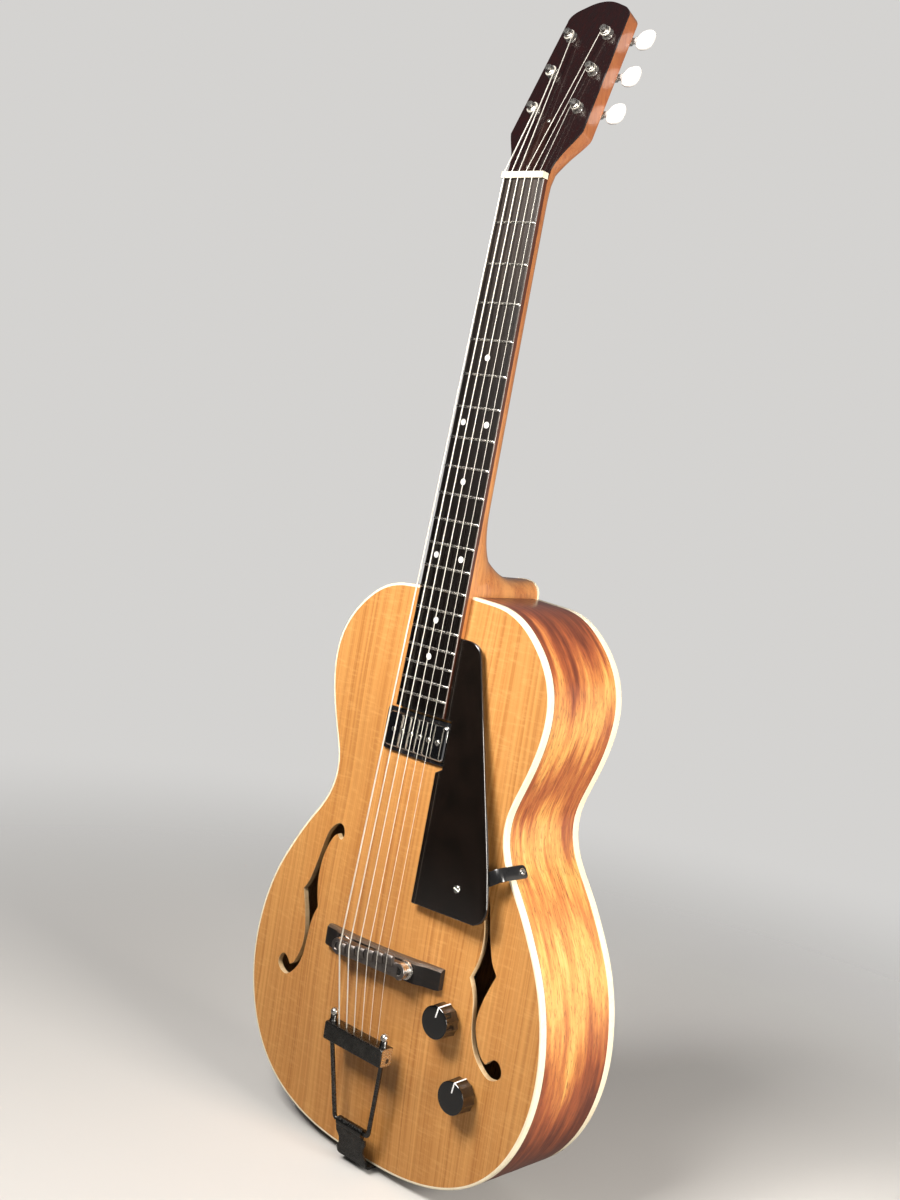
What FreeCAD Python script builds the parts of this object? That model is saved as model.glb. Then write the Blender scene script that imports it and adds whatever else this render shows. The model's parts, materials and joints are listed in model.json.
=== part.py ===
import FreeCAD, Part
import Sketcher
import math
import os
from FreeCAD import Vector as V, Placement, Rotation, Matrix

# Archtop guitar, millimetres.  +Z runs up the neck, the soundboard faces -Y, +X is the treble side.
# The origin is the axis of the output jack where it meets the tail end of the body, half way through the rim depth.

doc = FreeCAD.newDocument("archtop_guitar")
sheet = doc.addObject("Spreadsheet::Sheet", "Dims")

DIMS = [
    ("scale_len", 628.65, "string scale length"),
    ("rim_depth", 94.2, "depth of the sides, plate edge to plate edge"),
    ("body_len", 480.61, "body length on the centre line"),
    ("rib_thk", 2.2, "side thickness"),
    ("plate_thk", 5.0, "carved plate thickness"),
    ("bind_wid", 2.2, "binding width seen from the front"),
    ("bind_dep", 6.0, "binding depth along the side"),
    ("arch_top", 14.0, "arch height of the soundboard"),
    ("arch_back", 11.0, "arch height of the back"),
    ("lining_wid", 6.0, "lining width"),
    ("lining_dep", 12.0, "lining depth"),
    ("neck_angle", 3.073, "neck set back, degrees"),
    ("nut_y", -39.3, "board surface at the nut, Y"),
    ("nut_z", 811.9, "board surface at the nut, Z"),
    ("board_len", 431.5, "fingerboard length"),
    ("board_thk", 5.0, "fingerboard thickness"),
    ("board_nut_wid", 43.0, "fingerboard width at the nut"),
    ("board_end_wid", 53.0, "fingerboard width at its end"),
    ("board_rad", 305.0, "fingerboard radius"),
    ("nut_thk", 5.0, "nut thickness along the neck"),
    ("nut_high", 1.9, "nut height over the board"),
    ("head_angle", 18.7, "headstock set back from the board, degrees"),
    ("head_thk", 13.5, "headstock wood thickness"),
    ("veneer_thk", 1.5, "headstock veneer thickness"),
    ("cover_thk", 2.0, "truss rod cover thickness"),
    ("heel_cap_thk", 2.6, "heel cap thickness"),
    ("heel_wid", 33.0, "heel width at the cap"),
    ("heel_len", 14.0, "heel length at the cap"),
    ("block_wid", 64.0, "neck block width"),
    ("block_len", 42.0, "neck block length"),
    ("tail_block_wid", 52.0, "tail block width"),
    ("tail_block_len", 24.0, "tail block length"),
    ("guard_thk", 3.0, "pickguard thickness"),
    ("guard_drop", 3.0, "pickguard face below the board surface"),
    ("pickup_wid", 66.0, "pickup cover width"),
    ("pickup_len", 28.6, "pickup cover length"),
    ("pickup_dep", 11.5, "pickup cover depth"),
    ("pickup_s", 451.5, "pickup centre from the nut"),
    ("pole_pitch", 9.76, "pole screw spacing"),
    ("knob_rad", 14.2, "knob radius"),
    ("knob_high", 14.4, "knob height"),
    ("shaft_rad", 3.0, "control shaft radius"),
    ("pot_rad", 12.0, "potentiometer can radius"),
    ("pot_high", 9.0, "potentiometer can height"),
    ("jack_bore", 3.2, "jack bore radius"),
    ("jack_rad", 4.75, "jack barrel radius"),
    ("bridge_wid", 132.0, "bridge base width"),
    ("bridge_len", 18.0, "bridge base length along the strings"),
    ("stud_rad", 3.5, "bridge stud radius"),
    ("stud_x", 35.5, "bridge stud distance from the centre line"),
    ("bar_wid", 67.0, "tailpiece bar width"),
    ("bar_high", 15.0, "tailpiece bar height"),
    ("rod_rad", 1.9, "tailpiece rod radius"),
    ("post_rad", 3.0, "string post radius"),
    ("gear_teeth", 14, "teeth on the tuner gear"),
    ("worm_gap", 8.5, "worm axis to post axis"),
    ("button_len", 19.0, "tuner button length along its shaft"),
    ("button_wid", 17.6, "tuner button width"),
    ("button_thk", 8.4, "tuner button thickness"),
]
for i, (alias, value, note) in enumerate(DIMS):
    row = str(i + 1)
    sheet.set("A" + row, note)
    sheet.set("B" + row, repr(value))
    sheet.setAlias("B" + row, alias)
doc.recompute()


def D(alias):
    return float(sheet.get(alias))


NODES = {}


def feat(label, shape):
    """A sub-part whose shape is set from Part's own functions."""
    if isinstance(shape, (list, tuple)):
        shape = Part.makeCompound(list(shape))
    obj = doc.addObject("Part::Feature", label)
    obj.Label = label
    obj.Shape = shape
    NODES[label] = obj
    return obj


# ---------------------------------------------------------------- sketch helpers

def P(alias, k=1.0, c=0.0):
    """A size read from the sheet: its value now and the expression that keeps it bound."""
    return (D(alias) * k + c, "Dims.%s * %.6f + %.6f" % (alias, k, c))


def num(q):
    return q[0] if isinstance(q, tuple) else float(q)


def plane_of(body, role):
    for f in body.Origin.OriginFeatures:
        if f.Role == role:
            return f
    return None


def poly_sketch(body, name, verts, role="XY_Plane"):
    """A closed polygon with every vertex dimensioned from the sketch origin."""
    sk = body.newObject("Sketcher::SketchObject", name)
    sk.AttachmentSupport = [(plane_of(body, role), "")]
    sk.MapMode = "FlatFace"
    pts = [V(num(a), num(b), 0) for a, b in verts]
    n = len(pts)
    for i in range(n):
        sk.addGeometry(Part.LineSegment(pts[i], pts[(i + 1) % n]), False)
    for i in range(n):
        sk.addConstraint(Sketcher.Constraint("Coincident", i, 2, (i + 1) % n, 1))
    for i, (a, b) in enumerate(verts):
        for kind, q, axis in (("DistanceX", a, -2), ("DistanceY", b, -1)):
            if abs(num(q)) < 1e-9 and not isinstance(q, tuple):
                sk.addConstraint(Sketcher.Constraint("PointOnObject", i, 1, axis))
            else:
                c = sk.addConstraint(Sketcher.Constraint(kind, -1, 1, i, 1, num(q)))
                if isinstance(q, tuple):
                    sk.setExpression("Constraints[%d]" % c, q[1])
    return sk


def circle_sketch(body, name, circles, role="XY_Plane"):
    """Circles given as (x, y, radius); the radius may be bound to the sheet."""
    sk = body.newObject("Sketcher::SketchObject", name)
    sk.AttachmentSupport = [(plane_of(body, role), "")]
    sk.MapMode = "FlatFace"
    for i, (x, y, r) in enumerate(circles):
        sk.addGeometry(Part.Circle(V(x, y, 0), V(0, 0, 1), num(r)), False)
        c = sk.addConstraint(Sketcher.Constraint("Radius", i, num(r)))
        if isinstance(r, tuple):
            sk.setExpression("Constraints[%d]" % c, r[1])
        for kind, q, axis in (("DistanceX", x, -2), ("DistanceY", y, -1)):
            if abs(q) < 1e-9:
                sk.addConstraint(Sketcher.Constraint("PointOnObject", i, 3, axis))
            else:
                sk.addConstraint(Sketcher.Constraint(kind, -1, 1, i, 3, q))
    return sk


def pad(body, sketch, length, reverse=False):
    p = body.newObject("PartDesign::Pad", sketch.Name + "_pad")
    p.Profile = sketch
    p.Length = num(length)
    if isinstance(length, tuple):
        p.setExpression("Length", length[1])
    p.Reversed = reverse
    doc.recompute()
    return p


def pocket(body, sketch, length, reverse=False):
    before = body.Shape.Volume
    p = body.newObject("PartDesign::Pocket", sketch.Name + "_pocket")
    p.Profile = sketch
    p.Length = num(length)
    if isinstance(length, tuple):
        p.setExpression("Length", length[1])
    p.Reversed = reverse
    doc.recompute()
    if not body.Shape.Volume < before - 1e-6:
        p.Reversed = not reverse
        doc.recompute()
    if not body.Shape.Volume < before - 1e-6:
        raise RuntimeError("pocket cuts nothing: " + sketch.Name)
    return p


def revolve(body, sketch, role="Y_Axis"):
    r = body.newObject("PartDesign::Revolution", sketch.Name + "_rev")
    r.Profile = sketch
    r.ReferenceAxis = (plane_of(body, role), [""])
    r.Angle = 360.0
    doc.recompute()
    return r


def fillet(body, base, radius, pick):
    names = ["Edge%d" % (i + 1) for i, e in enumerate(base.Shape.Edges) if pick(e)]
    f = body.newObject("PartDesign::Fillet", base.Name + "_fillet")
    f.Base = (base, names)
    f.Radius = num(radius)
    if isinstance(radius, tuple):
        f.setExpression("Radius", radius[1])
    doc.recompute()
    return f


def new_body(label, place=None, node=True):
    b = doc.addObject("PartDesign::Body", label)
    b.Label = label
    if place is not None:
        b.Placement = place
    if node:
        NODES[label] = b
    return b


def along_z(e):
    a, b = e.Vertexes[0].Point, e.Vertexes[-1].Point
    return abs(a.x - b.x) < 1e-6 and abs(a.y - b.y) < 1e-6 and abs(a.z - b.z) > 1e-6


# ---------------------------------------------------------------- frames

YF = -D("rim_depth") / 2
YB = D("rim_depth") / 2
PHI = D("neck_angle")
# Board frame: x across, y backwards from the board surface, z up the neck from the nut.
BOARD = Placement(V(0, D("nut_y"), D("nut_z")), Rotation(V(1, 0, 0), -PHI))
# Head frame: x across, y backwards from the headstock face, z up the headstock.
HEAD = BOARD.multiply(Placement(V(0, 4.0, 5.0), Rotation(V(1, 0, 0), -D("head_angle"))))
# A plate drawn in XY and padded along Z, turned so that the pad points to the front.
FACE = Placement(V(0, 0, 0), Rotation(V(1, 0, 0), 90))


def put(shape, place):
    s = shape.copy()
    s.transformShape(place.toMatrix(), True)
    return s


def cyl(p, d, r, length):
    return Part.makeCylinder(r, length, p, d)


def box(x0, x1, y0, y1, z0, z1):
    return Part.makeBox(x1 - x0, y1 - y0, z1 - z0, V(x0, y0, z0))


def fuse(shapes):
    s = shapes[0]
    if len(shapes) > 1:
        s = s.multiFuse(shapes[1:])
    return s.removeSplitter()


def solids(s):
    return list(s.Solids)


def spline(pts, periodic=False):
    c = Part.BSplineCurve()
    c.interpolate(Points=pts, PeriodicFlag=periodic)
    return c


def tube(points, radius, bend):
    """Round rod along straight runs joined by tangent arcs."""
    pts = [V(*p) for p in points]
    edges = []
    start = pts[0]
    for i in range(1, len(pts) - 1):
        a, b, c = pts[i - 1], pts[i], pts[i + 1]
        u, w = (a - b).normalize(), (c - b).normalize()
        ang = u.getAngle(w)
        turn = math.pi - ang
        r = bend if not isinstance(bend, (list, tuple)) else bend[i - 1]
        t = r * math.tan(turn / 2)
        p1, p2 = b + u * t, b + w * t
        mid_dir = (u + w).normalize()
        m = b + mid_dir * (r / math.sin(ang / 2) - r)
        edges.append(Part.LineSegment(start, p1).toShape())
        edges.append(Part.Arc(p1, m, p2).toShape())
        start = p2
    edges.append(Part.LineSegment(start, pts[-1]).toShape())
    path = Part.Wire(edges)
    d = (pts[1] - pts[0]).normalize()
    prof = Part.Wire([Part.makeCircle(radius, pts[0], d)])
    s = path.makePipeShell([prof], True, False)
    s = s.Solids[0] if s.Solids else Part.makeSolid(s)
    want = math.pi * radius * radius * path.Length
    if abs(s.Volume - want) > 0.02 * want:
        raise RuntimeError("tube volume %.2f, expected %.2f" % (s.Volume, want))
    return s


# ---------------------------------------------------------------- body outline and arch

HALF = [(0.0, 0.0), (19.3, 0.28), (38.57, 1.31), (57.72, 3.69), (76.53, 7.95), (94.74, 14.33), (111.87, 23.17),
        (127.26, 34.78), (140.26, 49.01), (150.58, 65.3), (158.15, 83.04), (163.13, 101.67), (165.67, 120.79),
        (165.82, 140.08), (163.83, 159.27), (160.02, 178.19), (154.3, 196.61), (146.57, 214.29), (137.34, 231.24),
        (127.35, 247.75), (116.28, 263.55), (105.41, 279.49), (98.14, 297.31), (97.15, 316.48), (102.35, 335.03),
        (109.08, 353.12), (114.74, 371.57), (118.3, 390.52), (118.49, 409.79), (113.91, 428.48), (104.48, 445.27),
        (91.5, 459.52), (75.9, 470.81), (57.77, 477.2), (38.56, 478.93), (19.29, 480.09), (0.0, 480.61)]
ZK = D("body_len") / 480.61
HALF = [(x, z * ZK) for x, z in HALF]
FULL = [V(x, 0, z) for x, z in HALF] + [V(-x, 0, z) for x, z in HALF[-2:0:-1]]
BASE = spline(FULL, True)
N_OUT = 96
T0, T1 = BASE.FirstParameter, BASE.LastParameter


def offset_points(off):
    pts = []
    for i in range(N_OUT):
        t = T0 + (T1 - T0) * i / N_OUT
        p = BASE.value(t)
        d = BASE.tangent(t)[0]
        n = V(-d.z, 0, d.x)
        pts.append(p + n * off)
    return pts


INWARD = 1.0
probe = offset_points(5.0)
if abs(probe[N_OUT // 4].x) > abs(BASE.value(T0 + (T1 - T0) / 4).x):
    INWARD = -1.0


def outline(off, y):
    """Closed outline, off mm inside the body's edge, at depth y."""
    if off == 0:
        c = spline([V(p.x, y, p.z) for p in offset_points(0.0)], True)
    else:
        c = spline([V(p.x, y, p.z) for p in offset_points(INWARD * off)], True)
    return Part.Wire([c.toShape()])


def prism(off, y0, y1):
    return Part.Face(outline(off, y0)).extrude(V(0, y1 - y0, 0))


def ring(off0, off1, y0, y1):
    return prism(off0, y0, y1).cut(prism(off1, y0, y1))


def half_width(z):
    z = max(0.0, min(z, HALF[-1][1]))
    for (x0, z0), (x1, z1) in zip(HALF, HALF[1:]):
        if z0 <= z <= z1 and z1 > z0:
            return x0 + (x1 - x0) * (z - z0) / (z1 - z0)
    return 0.0


def soft_width(z):
    """Half width smoothed along the body, never narrow at the ends."""
    tot = 0.0
    for k in range(-4, 5):
        tot += max(62.0, half_width(z + k * 5.0) - D("bind_wid"))
    return tot / 9.0


def arch(x, z, high):
    ln = D("body_len")
    zz = min(max(z / ln, 0.0), 1.0)
    t = min(abs(x) / soft_width(z), 1.0)
    return high * math.sin(math.pi * zz) ** 1.1 * (1 + math.cos(math.pi * t)) / 2


def arch_face(high, y_edge, sign):
    """Arched sheet over the whole outline; sign -1 bulges to the front."""
    rows = []
    for i in range(37):
        z = -12.0 + 504.0 * i / 36
        row = []
        for j in range(41):
            x = -180.0 + 360.0 * j / 40
            row.append(V(x, y_edge + sign * arch(x, z, high), z))
        rows.append(row)
    s = Part.BSplineSurface()
    s.interpolate(rows)
    return s.toShape()


TOP_OUT = arch_face(D("arch_top"), YF, -1)
BACK_OUT = arch_face(D("arch_back"), YB, 1)


def slab(face, y0, y1):
    """Solid between the arched sheet moved by y0 and by y1."""
    f = face.copy()
    f.translate(V(0, y0, 0))
    return f.extrude(V(0, y1 - y0, 0))


# ---------------------------------------------------------------- f-holes

F_PARTS = [
    [(80.0, 255.5), (77.2, 252.8), (74.0, 252.2), (71.2, 254.6), (70.6, 258.0), (71.9, 261.6), (75.0, 264.3),
     (80.0, 264.8), (85.4, 262.1), (90.5, 257.0), (94.0, 250.4), (96.5, 241.3), (98.4, 232.6), (100.5, 224.4),
     (103.4, 214.8), (107.4, 204.6), (112.5, 197.5)],
    [(112.5, 197.5), (108.6, 187.6), (105.2, 177.6), (102.6, 168.4), (101.4, 160.0), (101.6, 153.0), (102.8, 147.4),
     (105.2, 140.8), (108.4, 134.6), (111.8, 130.0), (115.5, 127.5)],
    [(115.5, 127.5), (119.0, 131.2), (122.6, 133.7), (126.0, 133.9), (129.2, 131.4), (131.3, 127.6), (131.5, 123.8),
     (129.4, 120.4), (125.4, 117.8), (120.4, 117.0), (114.4, 119.8), (108.3, 125.4), (103.1, 132.8), (99.7, 141.6),
     (97.9, 150.5), (96.7, 160.4), (95.4, 170.8), (92.8, 180.0), (88.8, 188.5)],
    [(88.8, 188.5), (92.6, 199.4), (94.5, 208.0), (95.0, 216.0), (94.7, 223.4), (93.5, 231.2), (91.2, 238.9),
     (87.9, 246.4), (84.0, 252.2), (80.0, 255.5)],
]


def f_hole(side):
    edges = []
    for part in F_PARTS:
        edges.append(spline([V(side * x, -80, z * ZK) for x, z in part]).toShape())
    return Part.Face(Part.Wire(edges)).extrude(V(0, 60, 0))


# ---------------------------------------------------------------- control and pickup positions

CTRL = [("volume", 75.0, 149.7), ("tone", 99.7, 97.0)]
PUZ = -D("pickup_s")


def pickup_prism(w, l, y0, y1, r):
    b = box(-w / 2, w / 2, y0, y1, PUZ - l / 2, PUZ + l / 2)
    es = [e for e in b.Edges if abs(e.Vertexes[0].Y - e.Vertexes[-1].Y) > 0.01]
    return put(b.makeFillet(r, es), BOARD)


# ---------------------------------------------------------------- soundboard

top = slab(TOP_OUT, 0.0, D("plate_thk")).common(prism(D("bind_wid"), YF - 30, YF + 12))
top = top.cut(f_hole(1)).cut(f_hole(-1))
top = top.cut(pickup_prism(D("pickup_wid") + 1.2, D("pickup_len") + 1.2, -2, 25, 3.2))
for nm, cx, cz in CTRL:
    top = top.cut(cyl(V(cx, -80, cz), V(0, 1, 0), 3.75, 60))
feat("soundboard", solids(top))

# ---------------------------------------------------------------- back, sides, bindings

back = slab(BACK_OUT, -D("plate_thk"), 0.0).common(prism(D("bind_wid"), YB - 12, YB + 30))
feat("back_plate", solids(back))

JACK_HOLE = cyl(V(0, 0, -10), V(0, 0, 1), D("jack_rad") + 0.05, 60)
TENON = box(-11, 11, YF + D("bind_dep"), 30, 463.0, 486.0)
BD = D("bind_dep")
ribs = ring(0, D("rib_thk"), YF + BD, YB - BD)
ribs = ribs.cut(JACK_HOLE).cut(TENON)
SIDE_P = V(107.0, 0, 277.2)          # where the pickguard bracket's screw meets the treble side
SIDE_N = V(0.826, 0, 0.564)
SIDE_N.normalize()
SIDE_T = V(-SIDE_N.z, 0, SIDE_N.x)
BR_Y = -33.5
ribs = ribs.cut(cyl(V(SIDE_P.x, BR_Y, SIDE_P.z) - SIDE_N * 12, SIDE_N, 1.2, 24))
hinge_screws = [(-11.0, 13.0), (11.0, 13.0), (0.0, -22.0)]
for x, y in hinge_screws:
    ribs = ribs.cut(cyl(V(x, y, -5), V(0, 0, 1), 1.5, 30))
GRAFT = box(-14, 14, -60, 60, -20, 14)      # end strip let in where the two sides meet at the tail
graft = ribs.common(GRAFT)
ribs = ribs.cut(GRAFT)
left = ribs.common(box(-200, 0, -60, 60, -20, 500))
right = ribs.common(box(0, 200, -60, 60, -20, 500))
feat("ribs", solids(left) + solids(right) + solids(graft))

feat("top_binding", solids(ring(0, D("bind_wid"), YF, YF + BD)))
feat("back_binding", solids(ring(0, D("bind_wid"), YB - BD, YB)))

# ---------------------------------------------------------------- blocks, linings and tone bars

RT = D("rib_thk")
inner = prism(RT, YF + 2, YB - 2)
under_top = slab(TOP_OUT, D("plate_thk"), 110.0)
over_back = slab(BACK_OUT, -110.0, -D("plate_thk"))
cavity_front = inner.common(under_top)
BW, BL = D("block_wid"), D("block_len")

blk = new_body("neck_block_stock", None, False)
sk = poly_sketch(blk, "neck_block_profile",
                 [(P("block_wid", -0.5), P("body_len", 1, -42.0)), (P("block_wid", 0.5), P("body_len", 1, -42.0)),
                  (P("block_wid", 0.5), P("body_len", 1, 10.0)), (P("block_wid", -0.5), P("body_len", 1, 10.0))])
pad(blk, sk, P("rim_depth", 1.0, 20.0))
blk_shape = put(blk.Shape, Placement(V(0, -YF + 10, 0), Rotation(V(1, 0, 0), 90)))
nb = blk_shape.common(inner).common(under_top).common(over_back).cut(TENON)
feat("neck_block", solids(nb))

tb = box(-D("tail_block_wid") / 2, D("tail_block_wid") / 2, -60, 60, -10, D("tail_block_len"))
tb = tb.common(inner).common(under_top).common(over_back).cut(JACK_HOLE)
for x, y in hinge_screws:
    tb = tb.cut(cyl(V(x, y, -5), V(0, 0, 1), 1.5, 30))
feat("tail_block", solids(tb))

LW, LD, PT = D("lining_wid"), D("lining_dep"), D("plate_thk")
gap_blocks = [box(-BW / 2 - 0.2, BW / 2 + 0.2, -70, 70, D("body_len") - BL - 2, 520),
              box(-D("tail_block_wid") / 2 - 0.2, D("tail_block_wid") / 2 + 0.2, -70, 70, -20, D("tail_block_len") + 1)]
lf = ring(RT, RT + LW, YF + 2, YF + PT + LD).common(under_top)
lb = ring(RT, RT + LW, YB - PT - LD, YB - 2).common(over_back)
linings = []
for l in (lf, lb):
    for g in gap_blocks:
        l = l.cut(g)
    l = l.cut(cyl(V(SIDE_P.x, BR_Y, SIDE_P.z) - SIDE_N * 12, SIDE_N, 1.2, 24))
    linings += solids(l)
feat("kerfed_linings", linings)

bars = []
under_bar = slab(TOP_OUT, PT, PT + 13.0)
for side in (-1, 1):
    b = box(-3.6, 3.6, -80, 20, 60.0, 400.0)
    b.rotate(V(0, 0, 230), V(0, 1, 0), side * 2.5)
    b.translate(V(side * 44.0, 0, 0))
    b = b.common(under_bar).cut(pickup_prism(D("pickup_wid") + 4, D("pickup_len") + 4, -2, 40, 2.0))
    bars += solids(b)
bars = [b for b in bars if b.Volume > 200]
feat("tone_bars", bars)

# ---------------------------------------------------------------- fingerboard, frets, dots, nut

BT, BLN = D("board_thk"), D("board_len")
NW, EW = D("board_nut_wid"), D("board_end_wid")
RB = D("board_rad")


def board_w(s):
    return NW + (EW - NW) * s / BLN


fb = new_body("fingerboard_stock", None, False)
sk = poly_sketch(fb, "fingerboard_plan",
                 [(P("board_nut_wid", -0.5), 0.0), (P("board_end_wid", -0.5), P("board_len", -1)),
                  (P("board_end_wid", 0.5), P("board_len", -1)), (P("board_nut_wid", 0.5), 0.0)])
pad(fb, sk, P("board_thk"))
board = put(fb.Shape, Placement(V(0, BT, 0), Rotation(V(1, 0, 0), 90)))
crown = cyl(V(0, RB, -600), V(0, 0, 1), RB, 1200)
board = board.common(crown)

SL = D("scale_len")
fret_s = [SL * (1 - 2 ** (-n / 12.0)) for n in range(1, 20)]
frets = []
for s in fret_s:
    w = board_w(s) / 2 - 0.35
    slot = box(-40, 40, -2, 40, -s - 0.3, -s + 0.3).common(
        cyl(V(0, RB, -600), V(0, 0, 1), RB + 5, 1200).cut(cyl(V(0, RB, -600), V(0, 0, 1), RB - 2.0, 1200)))
    board = board.cut(slot)
    shell = cyl(V(0, RB, -s - 1.1), V(0, 0, 1), RB + 1.15, 2.2).cut(cyl(V(0, RB, -s - 2), V(0, 0, 1), RB, 4))
    crown_wire = shell.common(box(-w, w, -4, 6, -s - 2, -s + 2))
    tang = cyl(V(0, RB, -s - 0.3), V(0, 0, 1), RB, 0.6).cut(cyl(V(0, RB, -s - 2), V(0, 0, 1), RB - 2.0, 4))
    tang = tang.common(box(-w, w, -4, 8, -s - 2, -s + 2))
    f = fuse([crown_wire, tang])
    es = [e for e in f.Edges if e.Curve.TypeId == "Part::GeomCircle" and abs(e.Curve.Radius - RB - 1.15) < 0.01]
    try:
        g = f.makeFillet(0.7, es)
        f = g if g.isValid() and g.Volume > 0.5 * f.Volume else f
    except Exception:
        pass
    frets += solids(put(f, BOARD))

fret_mid = [(a + b) / 2 for a, b in zip([0.0] + fret_s[:-1], fret_s)]
dots = []
dot_xy = [(0, 5), (-12.5, 7), (12.5, 7), (0, 9), (-13.5, 12), (13.5, 12), (0, 15), (0, 17)]
for x, n in dot_xy:
    c = cyl(V(x, -3, -fret_mid[n - 1]), V(0, 1, 0), 2.6, 5.0)
    d = c.common(crown)
    board = board.cut(c)
    dots += solids(put(d, BOARD))
feat("fingerboard", solids(put(board, BOARD)))
feat("frets", frets)
feat("dot_inlays", dots)

# Strings, low E first: diameter and place at nut, bridge and tailpiece.
STR_D = [1.32, 1.07, 0.81, 0.61, 0.43, 0.33]
NUT_X = [-18.0 + 7.2 * i for i in range(6)]
BRG_X = [-28.2 + 10.5 * i for i in range(6)]
TAIL_X = [-22.25 + 8.9 * i for i in range(6)]
NUT_LIFT = 1.35
BRG_LIFT = 6.6

nb_ = new_body("nut", BOARD.multiply(Placement(V(0, BT, 0), Rotation(V(1, 0, 0), 90))))
sk = poly_sketch(nb_, "nut_plan", [(P("board_nut_wid", -0.5), 0.0), (P("board_nut_wid", -0.5), P("nut_thk")),
                                   (P("board_nut_wid", 0.5), P("nut_thk")), (P("board_nut_wid", 0.5), 0.0)])
p_nut = pad(nb_, sk, P("nut_high", 1.0, BT))
sk = nb_.newObject("Sketcher::SketchObject", "nut_slots")
sk.AttachmentSupport = [(plane_of(nb_, "XZ_Plane"), "")]
sk.MapMode = "FlatFace"
k = 0
for i in range(6):
    r = STR_D[i] / 2 + 0.12
    zc = BT + NUT_LIFT + STR_D[i] / 2
    pts = [(NUT_X[i] - r, zc - r), (NUT_X[i] + r, zc - r), (NUT_X[i] + r, BT + 4), (NUT_X[i] - r, BT + 4)]
    for j in range(4):
        a, b = pts[j], pts[(j + 1) % 4]
        sk.addGeometry(Part.LineSegment(V(a[0], a[1], 0), V(b[0], b[1], 0)), False)
    for j in range(4):
        sk.addConstraint(Sketcher.Constraint("Coincident", k + j, 2, k + (j + 1) % 4, 1))
    k += 4
pk = nb_.newObject("PartDesign::Pocket", "nut_slot_cut")
pk.Profile = sk
pk.Type = "ThroughAll"
pk.Midplane = True
doc.recompute()
if nb_.Shape.Volume > p_nut.Shape.Volume - 1:
    pk.Reversed = True
    doc.recompute()

# ---------------------------------------------------------------- neck

VT, HT = D("veneer_thk"), D("head_thk")
HEAD_HALF = [(21.5, -6.0), (21.7, 3.0), (23.6, 12.0), (28.0, 22.0), (33.4, 31.5), (37.0, 39.0)]


def head_outline():
    """Outline of the headstock in its own frame: flared below, tapering to a rounded top."""
    r = [V(x, 0, z) for x, z in HEAD_HALF]
    flare_r = spline(r).toShape()
    l = [V(-p.x, 0, p.z) for p in reversed(r)]
    flare_l = spline(l).toShape()
    c = 36.6
    corner_r = spline([V(37.0, 0, 39.0), V(c, 0, 45.0), V(30.6, 0, 150.0), V(28.6, 0, 155.4), V(24.0, 0, 158.6),
                       V(13.0, 0, 163.6), V(0, 0, 165.6)])
    side_r = Part.LineSegment(V(37.0, 0, 39.0), V(30.8, 0, 148.0)).toShape()
    crown_r = spline([V(30.8, 0, 148.0), V(30.2, 0, 152.2), V(27.6, 0, 155.8), V(20.0, 0, 160.2), V(10.0, 0, 164.2),
                      V(0, 0, 165.6), V(-10.0, 0, 164.2), V(-20.0, 0, 160.2), V(-27.6, 0, 155.8), V(-30.2, 0, 152.2),
                      V(-30.8, 0, 148.0)]).toShape()
    side_l = Part.LineSegment(V(-30.8, 0, 148.0), V(-37.0, 0, 39.0)).toShape()
    base = Part.LineSegment(V(-21.5, 0, -6.0), V(21.5, 0, -6.0)).toShape()
    return Part.Wire([flare_r, side_r, crown_r, side_l, flare_l, base])


HEAD_FACE = Part.Face(head_outline())


def head_prism(y0, y1):
    f = HEAD_FACE.copy()
    f.translate(V(0, y0, 0))
    return f.extrude(V(0, y1 - y0, 0))


def neck_section(s, depth, drop=0.0):
    """D-shaped section of the neck under the board, in the board frame."""
    w = board_w(max(s, 0.0)) / 2 - 0.02
    y0 = BT
    pts = []
    for k_ in range(17):
        a = math.pi * k_ / 16
        c, q = math.cos(a), math.sin(a)
        pts.append(V(w * (abs(c) ** 0.92) * (1 if c >= 0 else -1), y0 + depth * q ** 0.86, -s))
    curve = spline(pts).toShape()
    line = Part.LineSegment(pts[-1], pts[0]).toShape()
    return Part.Wire([curve, line])


JOIN_S = 331.5
secs = [neck_section(-1.0, 14.2), neck_section(60.0, 14.4), neck_section(150.0, 15.0), neck_section(230.0, 16.0),
        neck_section(JOIN_S + 4, 18.5)]
shaft = put(Part.makeLoft(secs, True, False), BOARD)

# Swelling from the neck into the back of the headstock.
w0 = neck_section(-1.0, 14.2)
secs2 = [neck_section(26.0, 14.25), neck_section(-1.0, 14.2)]


def head_section(z, depth, half, round_):
    pts = []
    for k_ in range(17):
        a = math.pi * k_ / 16
        c, q = math.cos(a), math.sin(a)
        pts.append(V(half * (abs(c) ** round_) * (1 if c >= 0 else -1), VT + depth * q ** round_, z))
    curve = spline(pts).toShape()
    return Part.Wire([curve, Part.LineSegment(pts[-1], pts[0]).toShape()])


throat = Part.makeLoft([put(neck_section(-1.0, 14.2), BOARD), put(head_section(9.0, HT + 1.6, 22.6, 0.62), HEAD),
                        put(head_section(20.0, HT + 0.4, 27.0, 0.36), HEAD),
                        put(head_section(34.0, HT, 34.6, 0.16), HEAD)], True, False)
head = put(head_prism(VT, VT + HT), HEAD)
head = head.cut(put(box(-60, 60, -30, 60, -30, 33.0), HEAD))

# Heel: half-ellipse sections from the neck back to the cap, standing on the end of the body.
HZ = D("body_len") - 3.0


def heel_section(y, a, b):
    pts = []
    for k_ in range(17):
        t = math.pi * k_ / 16
        c, q = math.cos(t), math.sin(t)
        pts.append(V(a * (abs(c) ** 0.8) * (1 if c >= 0 else -1), y, HZ + (b + 3.0) * q ** 0.8))
    return Part.Wire([spline(pts).toShape(), Part.LineSegment(pts[-1], pts[0]).toShape()])


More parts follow.
